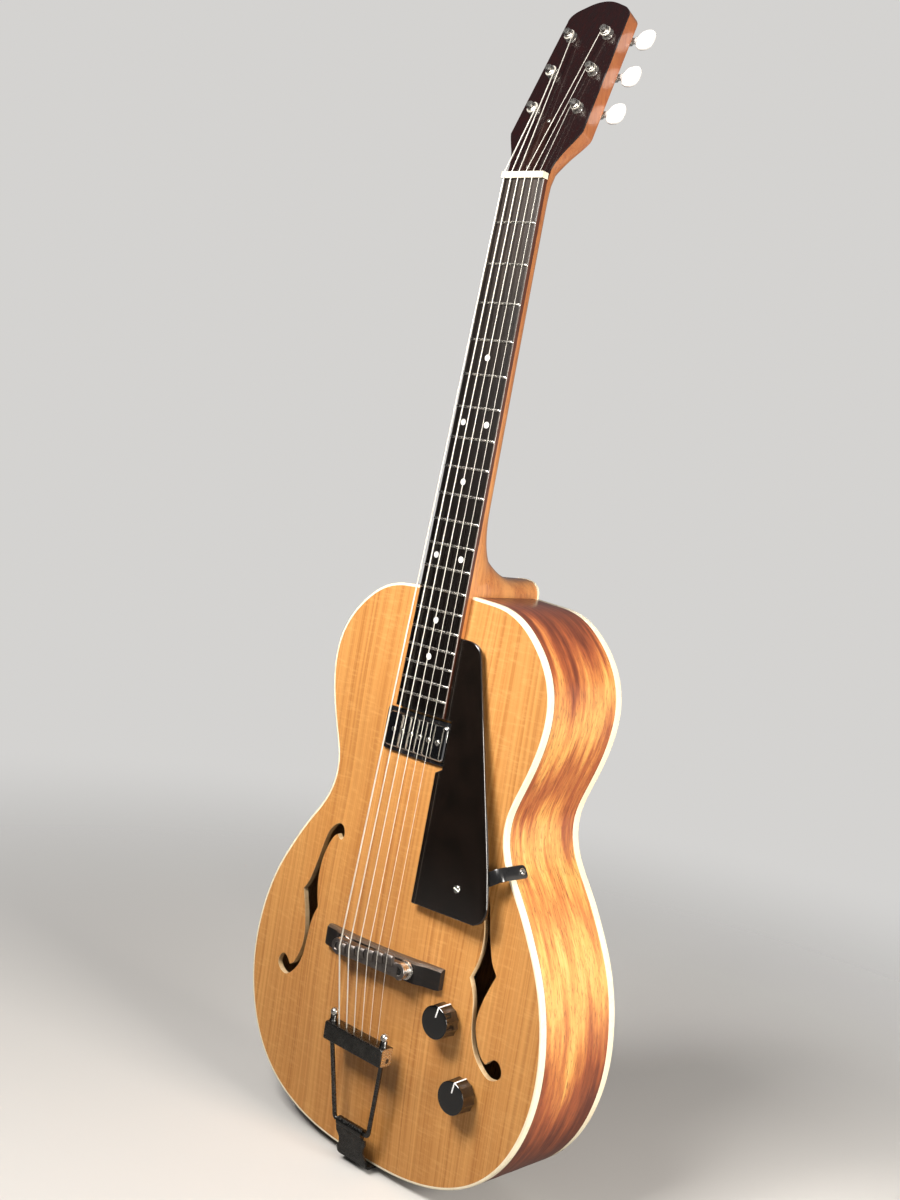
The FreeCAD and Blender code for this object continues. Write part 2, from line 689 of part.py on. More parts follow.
HCT, HW, HLN = D("heel_cap_thk"), D("heel_wid"), D("heel_len")
heel = Part.makeLoft([heel_section(-46.0, 25.0, 69.0), heel_section(-36.0, 24.8, 61.0), heel_section(-27.5, 24.3, 46.5),
                      heel_section(-17.5, 23.3, 30.6), heel_section(-6.0, 21.9, 21.4), heel_section(10.0, 19.7, 15.5),
                      heel_section(YB - 12.0, HW / 2 + 0.5, HLN + 0.3), heel_section(YB - HCT, HW / 2, HLN)], True, False)
above_board = put(box(-80, 80, -60, BT, -700, 200), BOARD)
heel = heel.cut(above_board)

riser_pts = []
for s in (JOIN_S - 8, BLN - 3.0):
    riser_pts.append((board_w(s) / 2 - 0.9, s))
(rw0, rs0), (rw1, rs1) = riser_pts
rp = [V(-rw0, BT, -rs0), V(-rw1, BT, -rs1), V(rw1, BT, -rs1), V(rw0, BT, -rs0), V(-rw0, BT, -rs0)]
riser = Part.Face(Part.makePolygon(rp)).extrude(V(0, 14, 0))
riser = put(riser, BOARD).cut(slab(TOP_OUT, -0.3, 60.0))
riser = riser.common(box(-60, 60, -100, YF - 0.3, 300, D("body_len") + 6))

body_core = prism(0, YF - 0.3, YB + 20)
shaft = shaft.cut(body_core)
heel = heel.cut(body_core)
tenon = box(-10.95, 10.95, YF + BD + 0.05, 29.95, 463.05, D("body_len") + 4)
neck = fuse([shaft, heel, throat, head, riser, tenon])
# Channel for the truss rod, and its access pocket under the cover.
channel = put(box(-3.2, 3.2, 2.0, BT + 8.2, -325.0, -1.0), BOARD).fuse(put(box(-3.2, 3.2, BT + 2.2, BT + 8.4, -3.0, 14.0), BOARD))
pocket_h = put(box(-6.5, 6.5, -4.0, 9.0, 6.4, 26.0), HEAD)
neck = neck.cut(channel).cut(pocket_h)
# Keep the neck clear of the board, the nut and the veneer.
neck = neck.cut(put(box(-40, 40, -30, BT, -700, 5.0), BOARD))
neck = neck.cut(put(box(-60, 60, -40, VT, -1.0, 200), HEAD).cut(put(box(-60, 60, -40, 60, -700, 5.0), BOARD)))

# Tuner places on the headstock: string, side, x, height.
TUNERS = [(1, 1, 22.2, 60.6), (2, 1, 20.5, 96.2), (3, 1, 18.6, 131.6),
          (4, -1, 18.6, 131.6), (5, -1, 20.5, 96.2), (6, -1, 22.2, 60.6)]
BUTTON_X = {60.6: 43.9, 96.2: 42.6, 131.6: 40.6}
BACK_Y = VT + HT
PLATE_T = 1.2
GAP = D("worm_gap")
GEAR_Y0, GEAR_Y1 = BACK_Y + 3.2, BACK_Y + 6.2
WORM_Y = (GEAR_Y0 + GEAR_Y1) / 2
tuner_screws = []
for n, side, x, u in TUNERS:
    px = side * x
    neck = neck.cut(put(cyl(V(px, -2, u), V(0, 1, 0), 4.25, 11.0), HEAD))
    neck = neck.cut(put(cyl(V(px, 5, u), V(0, 1, 0), 3.4, 20.0), HEAD))
    for du in (-7.5, 15.5):
        tuner_screws.append((px, u + du))
        neck = neck.cut(put(cyl(V(px, BACK_Y - 8, u + du), V(0, 1, 0), 1.0, 10.0), HEAD))
neck = neck.cut(put(cyl(V(0, VT - 1, 48.0), V(0, 1, 0), 0.9, 8.0), HEAD))
neck = neck.removeSplitter()
feat("neck", [max(solids(neck), key=lambda s: s.Volume)])

cap = new_body("heel_cap", Placement(V(0, YB, D("body_len")), Rotation(V(1, 0, 0), 90)))
capv = []
for k_ in range(13):
    t = math.pi * k_ / 12
    c, q = math.cos(t), math.sin(t)
    fx = (abs(c) ** 0.8) * (1 if c >= 0 else -1) * 0.5
    fy = q ** 0.8
    capv.append((P("heel_wid", fx) if abs(fx) > 1e-6 else 0.0,
                 P("heel_len", fy, 0.12)))
sk = poly_sketch(cap, "heel_cap_plan", capv)
pad(cap, sk, P("heel_cap_thk"))

ven = HEAD_FACE.extrude(V(0, VT, 0))
ven = put(ven, HEAD).cut(put(box(-60, 60, -60, 60, -700, 5.0), BOARD))
ven = ven.cut(put(box(-6.5, 6.5, -4.0, 9.0, 6.4, 26.0), HEAD))
for n, side, x, u in TUNERS:
    ven = ven.cut(put(cyl(V(side * x, -2, u), V(0, 1, 0), 4.25, 11.0), HEAD))
ven = ven.cut(put(cyl(V(0, -2, 48.0), V(0, 1, 0), 0.9, 12.0), HEAD))
ven = ven.cut(put(cyl(V(0, -2, 4.6), V(0, 1, 0), 0.9, 12.0), HEAD))
ve_nut = Part.makeCylinder(3.2, 8.0, V(0, BT + 5.3, 3.8), V(0, 0, 1))
ven = ven.cut(put(ve_nut, BOARD))
feat("headstock_veneer", [max(solids(ven), key=lambda s: s.Volume)])

rod = put(cyl(V(0, BT + 5.3, -322.0), V(0, 0, 1), 2.5, 326.0), BOARD)
rod_nut = put(Part.makeCylinder(3.1, 7.0, V(0, BT + 5.3, 4.0), V(0, 0, 1)), BOARD)
rod_nut = rod_nut.cut(put(cyl(V(0, BT + 5.3, 8.0), V(0, 0, 1), 2.0, 9.0), BOARD))
feat("truss_rod", solids(rod) + solids(rod_nut))

TC = D("cover_thk")
cov = new_body("truss_rod_cover", HEAD.multiply(Placement(V(0, 0, 0), Rotation(V(1, 0, 0), 90))))
cv = [(-8.6, 1.6), (8.6, 1.6), (8.6, 8.0), (7.2, 22.0), (5.4, 36.0), (4.6, 46.0), (3.4, 50.4), (0.0, 52.6), (-3.4, 50.4),
      (-4.6, 46.0), (-5.4, 36.0), (-7.2, 22.0), (-8.6, 8.0)]
sk = poly_sketch(cov, "truss_rod_cover_plan", cv)
pad(cov, sk, P("cover_thk"))
sk = circle_sketch(cov, "truss_rod_cover_holes", [(0.0, 4.6, 1.0), (0.0, 48.0, 1.0)])
pocket(cov, sk, 10.0)

# ---------------------------------------------------------------- screws

screws = []


def screw(p, d, head_r, head_h, shank_r, shank_l, place=None):
    """Round-headed screw: p is under the head, d points out of the work."""
    d = V(d)
    d.normalize()
    h = Part.makeCylinder(head_r, head_h, p, d)
    es = [e for e in h.Edges if e.Curve.TypeId == "Part::GeomCircle" and (e.CenterOfMass - p).dot(d) > head_h * 0.9]
    h = h.makeFillet(head_h * 0.6, es)
    s = fuse([h, Part.makeCylinder(shank_r, shank_l, p, d * -1)])
    slot_dir = d.cross(V(0.3, 0.2, 0.93))
    slot_dir.normalize()
    side_dir = d.cross(slot_dir)
    q = p + d * (head_h * 0.55) - slot_dir * (head_r * 1.5) - side_dir * (head_r * 0.12)
    pl = Part.makePolygon([q, q + side_dir * (head_r * 0.24), q + side_dir * (head_r * 0.24) + slot_dir * head_r * 3,
                           q + slot_dir * head_r * 3, q])
    s = s.cut(Part.Face(pl).extrude(d * head_h * 2))
    if place is not None:
        s = put(s, place)
    screws.extend(solids(s))


for z_, l_ in ((4.6, 1.4), (48.0, 5.0)):
    screw(V(0, -TC, z_), V(0, -1, 0), 1.7, 0.9, 0.88, l_ + TC, HEAD)
for x, u in tuner_screws:
    screw(V(x, BACK_Y + PLATE_T, u), V(0, 1, 0), 2.0, 1.1, 0.98, 8.5, HEAD)

# ---------------------------------------------------------------- tuners

plates, bushings = [], []
TEETH = int(D("gear_teeth"))
PITCH_R = 6.0
LEAD = 2 * math.pi * PITCH_R / TEETH
W_SHAFT = 1.6
LUG_R = W_SHAFT + 0.05


def gear_wire(y, turn):
    """Tooth outline, a gap centred on +z, in a plane at y."""
    pts = []
    step = 2 * math.pi / TEETH
    for t in range(TEETH):
        mid = step * (t + 0.5) + turn
        for r, w in ((5.3, -0.72), (6.0, -0.50), (6.5, -0.30), (6.5, 0.30), (6.0, 0.50), (5.3, 0.72)):
            a = mid + w / r
            pts.append(V(r * math.sin(a), y, r * math.cos(a)))
    return Part.makePolygon(pts + [pts[0]])


SLANT = math.radians(1.636)
half_face = (GEAR_Y1 - GEAR_Y0) / 2
gear = Part.makeLoft([gear_wire(GEAR_Y0, -SLANT * half_face), gear_wire(GEAR_Y1, SLANT * half_face)], True, True)

helix_len = LEAD * 2.6
helix = Part.makeHelix(LEAD, helix_len, 2.4)
prof_pts = [(1.35, -0.72), (3.0, -0.28), (3.0, 0.28), (1.35, 0.72)]
prof = Part.makePolygon([V(r, 0, z) for r, z in prof_pts] + [V(prof_pts[0][0], 0, prof_pts[0][1])])
thread = Part.Wire(helix.Edges).makePipeShell([prof], True, True)
thread = thread.Solids[0] if thread.Solids else Part.makeSolid(thread)
thread.translate(V(0, 0, -helix_len / 2))
core = Part.makeCylinder(1.72, helix_len + 2.4, V(0, 0, -helix_len / 2 - 1.2))
thread = thread.common(Part.makeCylinder(4.0, helix_len, V(0, 0, -helix_len / 2)))
worm_z = core.fuse(thread)
# Turn the thread so that a crest faces the gear's open gap when the tuner is at rest.
# Local axis Z becomes +x; local +x becomes the side that faces the gear (-z of the head frame).
m = Matrix(0, 0, 1, 0, 0, 1, 0, 0, -1, 0, 0, 0, 0, 0, 0, 1)
phase = -(helix_len / 2) / LEAD * 360.0
worm_z.rotate(V(0, 0, 0), V(0, 0, 1), phase)
worm_x = worm_z.copy()
worm_x.transformShape(m, True)


def post_solid():
    prof_p = [(0, -9.2), (2.3, -9.2), (3.0, -8.5), (3.0, -7.2), (2.5, -6.6), (2.5, -2.6), (3.0, -2.0), (3.0, GEAR_Y0),
              (0, GEAR_Y0)]
    w = Part.makePolygon([V(r, y, 0) for r, y in prof_p] + [V(0, -9.2, 0)])
    s = Part.Face(w).revolve(V(0, 0, 0), V(0, 1, 0), 360)
    return s.cut(cyl(V(-5, -7.8, 0), V(1, 0, 0), 0.8, 10))


POST = post_solid()

# Oval button with a short neck towards the headstock, bored for the worm shaft.
ball_b = Part.makeSphere(1.0)
mm = Matrix()
mm.scale(V(D("button_len") / 2, D("button_thk") / 2, D("button_wid") / 2))
BUTTON = ball_b.transformGeometry(mm).fuse(Part.makeCone(2.4, 3.4, 4.0, V(-D("button_len") / 2 - 1.6, 0, 0), V(1, 0, 0)))
BUTTON = BUTTON.cut(cyl(V(-30, 0, 0), V(1, 0, 0), W_SHAFT, 31.0))
for n, side, x, u in TUNERS:
    px = side * x
    at = Placement(V(px, 0, u), Rotation())
    # plate with two bearing lugs for the worm shaft
    pl = box(px - 8.6, px + 8.6, BACK_Y, BACK_Y + PLATE_T, u - 11.5, u + 19.5)
    pl = pl.makeFillet(4.0, [e for e in pl.Edges if abs(e.Vertexes[0].Y - e.Vertexes[-1].Y) > 0.5])
    for lx in (-7.6, 5.4):
        lug = box(px + lx, px + lx + 2.2, BACK_Y + PLATE_T, WORM_Y + 3.4, u + GAP - 3.4, u + GAP + 3.4)
        lug = lug.makeFillet(2.6, [e for e in lug.Edges if abs(e.Vertexes[0].X - e.Vertexes[-1].X) > 0.5
                                   and e.CenterOfMass.y > WORM_Y])
        pl = pl.fuse(lug)
    pl = pl.removeSplitter()
    pl = pl.cut(cyl(V(px, BACK_Y - 2, u), V(0, 1, 0), 3.3, 6))
    pl = pl.cut(cyl(V(px - 20, WORM_Y, u + GAP), V(1, 0, 0), LUG_R, 40))
    for du in (-7.5, 15.5):
        pl = pl.cut(cyl(V(px, BACK_Y - 2, u + du), V(0, 1, 0), 1.0, 6))
    plates += solids(put(pl, HEAD))
    # bushing
    bu = fuse([cyl(V(px, -1.3, u), V(0, 1, 0), 5.2, 1.3), cyl(V(px, 0, u), V(0, 1, 0), 4.2, 9.0)])
    bu = bu.makeFillet(0.7, [e for e in bu.Edges if e.Curve.TypeId == "Part::GeomCircle" and abs(e.Curve.Radius - 5.2) < 0.01
                             and e.CenterOfMass.y < -1.0])
    bu = bu.cut(cyl(V(px, -4, u), V(0, 1, 0), D("post_rad") + 0.06, 20))
    bushings += solids(put(bu, HEAD))
    # post, string turns, gear, gear screw
    winding = cyl(V(0, -6.3, 0), V(0, 1, 0), 3.9, 3.4).cut(cyl(V(0, -7, 0), V(0, 1, 0), 2.5, 6))
    winding = winding.makeFillet(0.6, [e for e in winding.Edges if e.Curve.TypeId == "Part::GeomCircle"
                                       and abs(e.Curve.Radius - 3.9) < 0.01])
    gscrew = cyl(V(0, GEAR_Y1, 0), V(0, 1, 0), 2.4, 1.5)
    gscrew = gscrew.cut(box(-3, 3, GEAR_Y1 + 0.8, GEAR_Y1 + 3, -0.35, 0.35))
    parts = []
    for s in (POST, winding, gear, gscrew):
        s2 = s.copy()
        s2.translate(V(px, 0, u))
        parts += solids(put(s2, HEAD))
    feat("tuner_post_%d" % n, parts)
    # worm with its shaft towards the button
    wz = u + GAP
    bx = side * BUTTON_X[u]
    wm = worm_x.copy()
    wm.translate(V(px, WORM_Y, wz))
    x_in, x_out = px - side * 8.2, bx + side * 1.0
    sh = cyl(V(min(x_in, x_out), WORM_Y, wz), V(1, 0, 0), W_SHAFT, abs(x_out - x_in))
    collar = cyl(V(px + (8.0 if side > 0 else -10.0), WORM_Y, wz), V(1, 0, 0), 2.6, 2.0)
    wm = wm.fuse(sh).fuse(collar)
    feat("tuner_worm_%d" % n, solids(put(wm, HEAD)))
    # button, an oval pressed on the shaft
    turn_b = Rotation(V(0, 1, 0), 0 if side > 0 else 180)
    bt = put(BUTTON, Placement(V(bx, WORM_Y, wz), turn_b))
    feat("tuner_button_%d" % n, solids(put(bt, HEAD)))
feat("tuner_plates", plates)
feat("tuner_bushings", bushings)

# ---------------------------------------------------------------- pickup

PW, PL, PD_ = D("pickup_wid"), D("pickup_len"), D("pickup_dep")
PY = 2.5
cover = box(-PW / 2, PW / 2, PY, PY + PD_, PUZ - PL / 2, PUZ + PL / 2)
cover = cover.makeFillet(3.0, [e for e in cover.Edges if abs(e.Vertexes[0].Y - e.Vertexes[-1].Y) > 0.5])
cover = cover.makeFillet(1.6, [e for e in cover.Edges if abs(e.CenterOfMass.y - PY) < 0.01])
hollow = box(-PW / 2 + 0.7, PW / 2 - 0.7, PY + 0.7, PY + PD_ + 2, PUZ - PL / 2 + 0.7, PUZ + PL / 2 - 0.7)
hollow = hollow.makeFillet(2.3, [e for e in hollow.Edges if abs(e.Vertexes[0].Y - e.Vertexes[-1].Y) > 0.5])
cover = cover.cut(hollow)
pole_x = [(-2.5 + i) * D("pole_pitch") for i in range(6)]
poles, bob = [], box(-PW / 2 + 2.6, PW / 2 - 2.6, PY + 1.4, PY + PD_ - 0.6, PUZ - PL / 2 + 2.6, PUZ + PL / 2 - 2.6)
coil = box(-PW / 2 + 5.2, PW / 2 - 5.2, PY + 3.0, PY + PD_ - 2.4, PUZ - PL / 2 + 5.2, PUZ + PL / 2 - 5.2)
groove = box(-PW / 2 + 2, PW / 2 - 2, PY + 3.0, PY + PD_ - 2.4, PUZ - PL / 2 + 2, PUZ + PL / 2 - 2).cut(
    box(-PW / 2 + 6.6, PW / 2 - 6.6, PY + 2, PY + PD_, PUZ - PL / 2 + 6.6, PUZ + PL / 2 - 6.6))
coil_ring = box(-PW / 2 + 3.4, PW / 2 - 3.4, PY + 3.0, PY + PD_ - 2.4, PUZ - PL / 2 + 3.4, PUZ + PL / 2 - 3.4).cut(
    box(-PW / 2 + 6.6, PW / 2 - 6.6, PY + 2, PY + PD_, PUZ - PL / 2 + 6.6, PUZ + PL / 2 - 6.6))
bob = bob.cut(groove)
for x in pole_x:
    cover = cover.cut(cyl(V(x, PY - 2, PUZ), V(0, 1, 0), 2.45, 4))
    bob = bob.cut(cyl(V(x, PY - 2, PUZ), V(0, 1, 0), 1.6, 30))
    ps = fuse([cyl(V(x, PY - 0.9, PUZ), V(0, 1, 0), 2.35, 2.3), cyl(V(x, PY, PUZ), V(0, 1, 0), 1.55, PD_ - 0.6)])
    ps = ps.cut(box(x - 0.35, x + 0.35, PY - 2, PY - 0.25, PUZ - 4, PUZ + 4))
    poles += solids(put(ps, BOARD))
feat("pickup_cover", solids(put(cover, BOARD)))
feat("pickup_coil", solids(put(bob, BOARD)) + solids(put(coil_ring, BOARD)))
feat("pickup_poles", poles)

fr = pickup_prism(PW + 11.0, PL + 6.6, -2, 26, 4.0).cut(pickup_prism(PW + 0.5, PL + 0.5, -4, 30, 3.1))
fr = fr.common(slab(TOP_OUT, -2.6, -0.05))
base_plate = box(-PW / 2, PW / 2, PY + PD_, PY + PD_ + 1.0, PUZ - PL / 2, PUZ + PL / 2)
feat("pickup_frame", solids(fr) + solids(put(base_plate, BOARD)))

# ---------------------------------------------------------------- pickguard and bracket

GT, GDR = D("guard_thk"), D("guard_drop")
gd = new_body("pickguard", BOARD.multiply(Placement(V(0, GDR + GT, 0), Rotation(V(1, 0, 0), 90))))
GUARD = [(26.4, -366.0), (27.2, -432.0), (34.0, -432.0), (34.0, -470.8), (27.4, -474.6), (28.8, -581.0), (95.5, -578.2),
         (101.6, -574.6), (105.6, -567.2), (105.0, -559.0), (98.6, -533.7), (51.6, -377.6), (49.0, -371.6),
         (43.6, -367.6), (37.3, -366.0)]
sk = poly_sketch(gd, "pickguard_plan", GUARD)
p_gd = pad(gd, sk, P("guard_thk"))
fillet(gd, p_gd, 1.2, lambda e: along_z(e) and e.CenterOfMass.y < -560 and e.CenterOfMass.x < 60)
sk = circle_sketch(gd, "pickguard_hole", [(73.4, -556.0, 1.6)])
pocket(gd, sk, 12.0)


def bracket_point(n_, y, t_=0.0):
    p = V(SIDE_P.x, 0, SIDE_P.z) + SIDE_N * n_ + SIDE_T * t_
    return V(p.x, y, p.z)


B_PROF = [(0.25, -28.0), (1.75, -28.0), (1.75, -56.6), (0.2, -60.0), (-9.0, -61.9), (-44.0, -63.0), (-44.0, -61.5),
          (-9.0, -60.4), (-0.6, -58.6), (0.25, -56.2)]
wire = Part.makePolygon([bracket_point(n_, y, -5.5) for n_, y in B_PROF] + [bracket_point(*B_PROF[0], -5.5)])
bracket = Part.Face(wire).extrude(SIDE_T * 11.0)
GS = put(Part.Vertex(V(73.4, 0, -556.0)), BOARD).Point
gn = BOARD.Rotation.multVec(V(0, -1, 0))
bracket = bracket.cut(cyl(GS + gn * 10, gn * -1, 1.6, 40))
bracket = bracket.cut(cyl(V(SIDE_P.x, BR_Y, SIDE_P.z) - SIDE_N * 6, SIDE_N, 1.6, 20))
feat("pickguard_bracket", solids(bracket))
guard_front = GS - gn * GDR
screw(guard_front, gn, 3.0, 1.3, 1.55, 6.0)
screw(V(SIDE_P.x, BR_Y, SIDE_P.z) + SIDE_N * 1.75, SIDE_N, 2.8, 1.3, 1.15, 9.5)

# ---------------------------------------------------------------- bridge

BWD, BLG = D("bridge_wid"), D("bridge_len")
bridge_z = 176.0
TILT = 2.4
base = new_body("bridge_base_stock", None, False)
sk = poly_sketch(base, "bridge_base_front",
                 [(P("bridge_wid", -0.5), 30.0), (P("bridge_wid", -0.5), 60.3), (-52.0, 62.6), (-44.0, 66.4), (44.0, 66.4),
                  (52.0, 62.6), (P("bridge_wid", 0.5), 60.3), (P("bridge_wid", 0.5), 30.0)])
pad(base, sk, P("bridge_len"))
bs = base.Shape.copy()
bs.transformShape(Matrix(1, 0, 0, 0, 0, -1, 0, 0, 0, 0, 1, -BLG / 2, 0, 0, 0, 1), True)
bs.rotate(V(0, 0, 0), V(0, 1, 0), -TILT)
bs.translate(V(0, 0, bridge_z))
bs = bs.cut(slab(TOP_OUT, -0.02, 60.0))
STX = D("stud_x")
stud_pos = []
for sx in (-1, 1):
    z_ = bridge_z + sx * STX * math.tan(math.radians(TILT)) + 0.6
    stud_pos.append((sx * STX, z_))
    bs = bs.cut(cyl(V(sx * STX, -90, z_), V(0, 1, 0), D("stud_rad") + 0.01, 90 - 59.0))
feat("bridge_base", solids(bs))

studs = []
for x, z_ in stud_pos:
    sb = new_body("bridge_stud_stock_%d" % (1 if x < 0 else 2), None, False)
    sk = poly_sketch(sb, "stud_section_%d" % (1 if x < 0 else 2),
                     [(0.0, 0.0), (P("stud_rad"), 0.0), (P("stud_rad"), 8.0), (7.8, 8.0), (7.8, 10.0), (P("stud_rad"), 10.0),
                      (P("stud_rad"), 17.6), (2.9, 18.2), (0.0, 18.2)])
    revolve(sb, sk)
    st = put(sb.Shape, Placement(V(x, -59.2, z_), Rotation(V(1, 0, 0), 180)))
    st = st.cut(box(x - 5, x + 5, -79, -76.2, z_ - 0.5, z_ + 0.5))
    studs += solids(st)
feat("bridge_studs", studs)

BY0, BY1 = -77.6, -69.6


def bar_profile(x):
    z_ = bridge_z + x * math.tan(math.radians(TILT)) + 0.6
    pts = [V(x, BY1, z_ - 6.0), V(x, BY0 + 2.6, z_ - 6.4), V(x, BY0 + 0.6, z_ - 4.6), V(x, BY0, z_ - 1.5), V(x, BY0, z_ + 1.5),
           V(x, BY0 + 0.6, z_ + 4.6), V(x, BY0 + 2.6, z_ + 6.4), V(x, BY1, z_ + 6.0), V(x, BY1, z_ - 6.0)]
    return Part.makePolygon(pts)


bar = Part.makeLoft([bar_profile(-35.0), bar_profile(35.0)], True, True)
for x, z_ in stud_pos:
    sx = 1 if x > 0 else -1
    ear = cyl(V(x, BY0 + 0.8, z_), V(0, 1, 0), 6.6, BY1 - BY0 - 0.8)
    bar = bar.fuse(ear)
saddle_at = []
for i in range(6):
    s_ = SL + 2.9 - 0.155 * BRG_X[i]
    p = put(Part.Vertex(V(BRG_X[i], -(BRG_LIFT + STR_D[i] / 2), -s_)), BOARD).Point
    saddle_at.append(p)
    yt = p.y + STR_D[i] / 2 + 0.03
    rd = Part.makePolygon([V(p.x - 4.2, BY0 + 2.0, p.z - 4.6), V(p.x - 4.2, yt, p.z - 0.9), V(p.x - 4.2, yt, p.z + 0.9),
                           V(p.x - 4.2, BY0 + 2.0, p.z + 3.4), V(p.x - 4.2, BY0 + 2.0, p.z - 4.6)])
    bar = bar.fuse(Part.Face(rd).extrude(V(8.4, 0, 0)))
bar = bar.removeSplitter()
for x, z_ in stud_pos:
    bar = bar.cut(cyl(V(x, -90, z_), V(0, 1, 0), D("stud_rad") + 0.02, 40))
    bar = bar.cut(cyl(V(x, (BY0 + BY1) / 2, z_ - 12), V(0, 0, 1), 1.3, 12))
feat("bridge_bar", solids(bar))

# ---------------------------------------------------------------- tailpiece

TBW, TBH = D("bar_wid"), D("bar_high")
TZ1 = 112.0
TZ0 = TZ1 - TBH
TY0 = -78.6
chan = box(-TBW / 2, TBW / 2, TY0, TY0 + 13.5, TZ0, TZ1)
chan = chan.makeFillet(1.4, [e for e in chan.Edges if abs(e.CenterOfMass.y - TY0) < 0.01])
chan = chan.cut(box(-TBW / 2 + 1.8, TBW / 2 - 1.8, TY0 + 2.2, TY0 + 20, TZ0 - 2, TZ1 - 1.8))
tail_at = []
for i in range(6):
    tail_at.append(V(TAIL_X[i], -72.6, TZ1 - 0.9))
    chan = chan.cut(box(TAIL_X[i] - 1.0, TAIL_X[i] + 1.0, -74.0, TY0 + 20, TZ1 - 3, TZ1 + 2))
for sx in (-1, 1):
    chan = chan.cut(cyl(V(sx * 29.6, -73.0, TZ1 - 4), V(0, 0, 1), 2.1, 8))
    chan = chan.cut(cyl(V(sx * TBW / 2 - 4, TY0 + 8.5, TZ0 + 4.4), V(1, 0, 0), 1.9, 8))
feat("tailpiece_bar", solids(chan))

rods, finials = [], []
for sx in (-1, 1):
    rods.append(tube([(sx * 15.2, -63.4, 30.4), (sx * 20.0, -63.4, 30.6), (sx * 28.6, -70.8, 92.0), (sx * 29.6, -73.0, 103.0),
                      (sx * 29.6, -73.0, 116.0)], D("rod_rad"), [3.2, 12.0, 12.0]))
    fb_ = new_body("finial_stock_%d" % (1 if sx < 0 else 2), None, False)
    sk = poly_sketch(fb_, "finial_section_%d" % (1 if sx < 0 else 2),
                     [(P("rod_rad", 1, 0.01), 0.0), (3.4, 0.0), (3.4, 1.4), (2.7, 2.0), (2.7, 6.2), (3.0, 6.8), (3.4, 7.8), (3.4, 9.0),
                      (2.9, 10.4), (2.0, 11.2), (1.0, 11.6), (0.0, 11.7), (0.0, 4.2), (P("rod_rad", 1, 0.01), 4.2)])
    revolve(fb_, sk)
    finials += solids(put(fb_.Shape, Placement(V(sx * 29.6, -73.0, TZ1), Rotation(V(1, 0, 0), 90))))
feat("tailpiece_rods", rods)
feat("tailpiece_finials", finials)

# Hinge plate: flat leg under the tail, bend past the front edge, waisted flap with a rolled end around the rods.
HW2 = 17.2
H_PROF = [(16.5, -2.1), (16.5, -0.1), (-52.6, -0.1), (-55.0, 1.2), (-56.2, 4.4), (-61.8, 25.0), (-63.6, 25.6), (-58.2, 4.0),
          (-56.7, 0.2), (-54.0, -2.1)]
wire = Part.makePolygon([V(-HW2, y, z) for y, z in H_PROF] + [V(-HW2, *H_PROF[0])])
hinge = Part.Face(wire).extrude(V(2 * HW2, 0, 0))
roll = cyl(V(-14.6, -63.4, 30.4), V(1, 0, 0), 3.9, 29.2)
web = box(-14.6, 14.6, -64.4, -61.9, 24.6, 28.6)
hinge = hinge.fuse(roll).fuse(web).removeSplitter()
hinge = hinge.cut(cyl(V(-40, -63.4, 30.4), V(1, 0, 0), D("rod_rad") + 0.01, 80))
for sx in (-1, 1):
    w1 = cyl(V(sx * 23.4, -80, 13.5), V(0, 1, 0), 9.2, 35)
    hinge = hinge.cut(w1)
hinge = hinge.cut(cyl(V(0, 0, -10), V(0, 0, 1), D("jack_rad") + 0.05, 20))
for x, y in hinge_screws:
    hinge = hinge.cut(cyl(V(x, y, -10), V(0, 0, 1), 1.5, 20))
    screw(V(x, y, -2.1), V(0, 0, -1), 3.0, 1.4, 1.45, 16.0)
feat("tailpiece_hinge", solids(hinge))
feat("wood_screws", screws)

# ---------------------------------------------------------------- strings

strings = []
for n, side, x, u in TUNERS:
    i = 6 - n
    d = STR_D[i]
    post_in = V(side * x - side * (3.9 + 0.12 + d / 2), -4.6, u)
    a = put(Part.Vertex(post_in), HEAD).Point
    b = put(Part.Vertex(V(NUT_X[i], -(NUT_LIFT + d / 2), D("nut_thk") + 0.7)), BOARD).Point
    c = saddle_at[i]
    e = tail_at[i]
    t = tube([(a.x, a.y, a.z), (b.x, b.y, b.z), (c.x, c.y, c.z), (e.x, e.y, e.z - 2.0)], d / 2, [4.0, 5.0])
    ball = cyl(V(e.x - 1.7, e.y, TZ1 - 1.82 - 1.95), V(1, 0, 0), 1.95, 3.4)
    strings += solids(t.fuse(ball))
feat("strings", strings)

# ---------------------------------------------------------------- jack, controls, wiring

jk = new_body("output_jack", Placement(V(0, 0, 0), Rotation(V(1, 0, 0), 90)))
sk = poly_sketch(jk, "jack_section",
                 [(P("jack_bore"), -6.2), (6.0, -6.2), (7.0, -5.4), (7.0, -2.2), (P("jack_rad"), -2.2), (P("jack_rad"), 25.0),
                  (7.0, 25.0), (7.0, 27.4), (P("jack_rad"), 27.4), (P("jack_rad"), 40.0), (P("jack_bore"), 40.0)])
revolve(jk, sk)

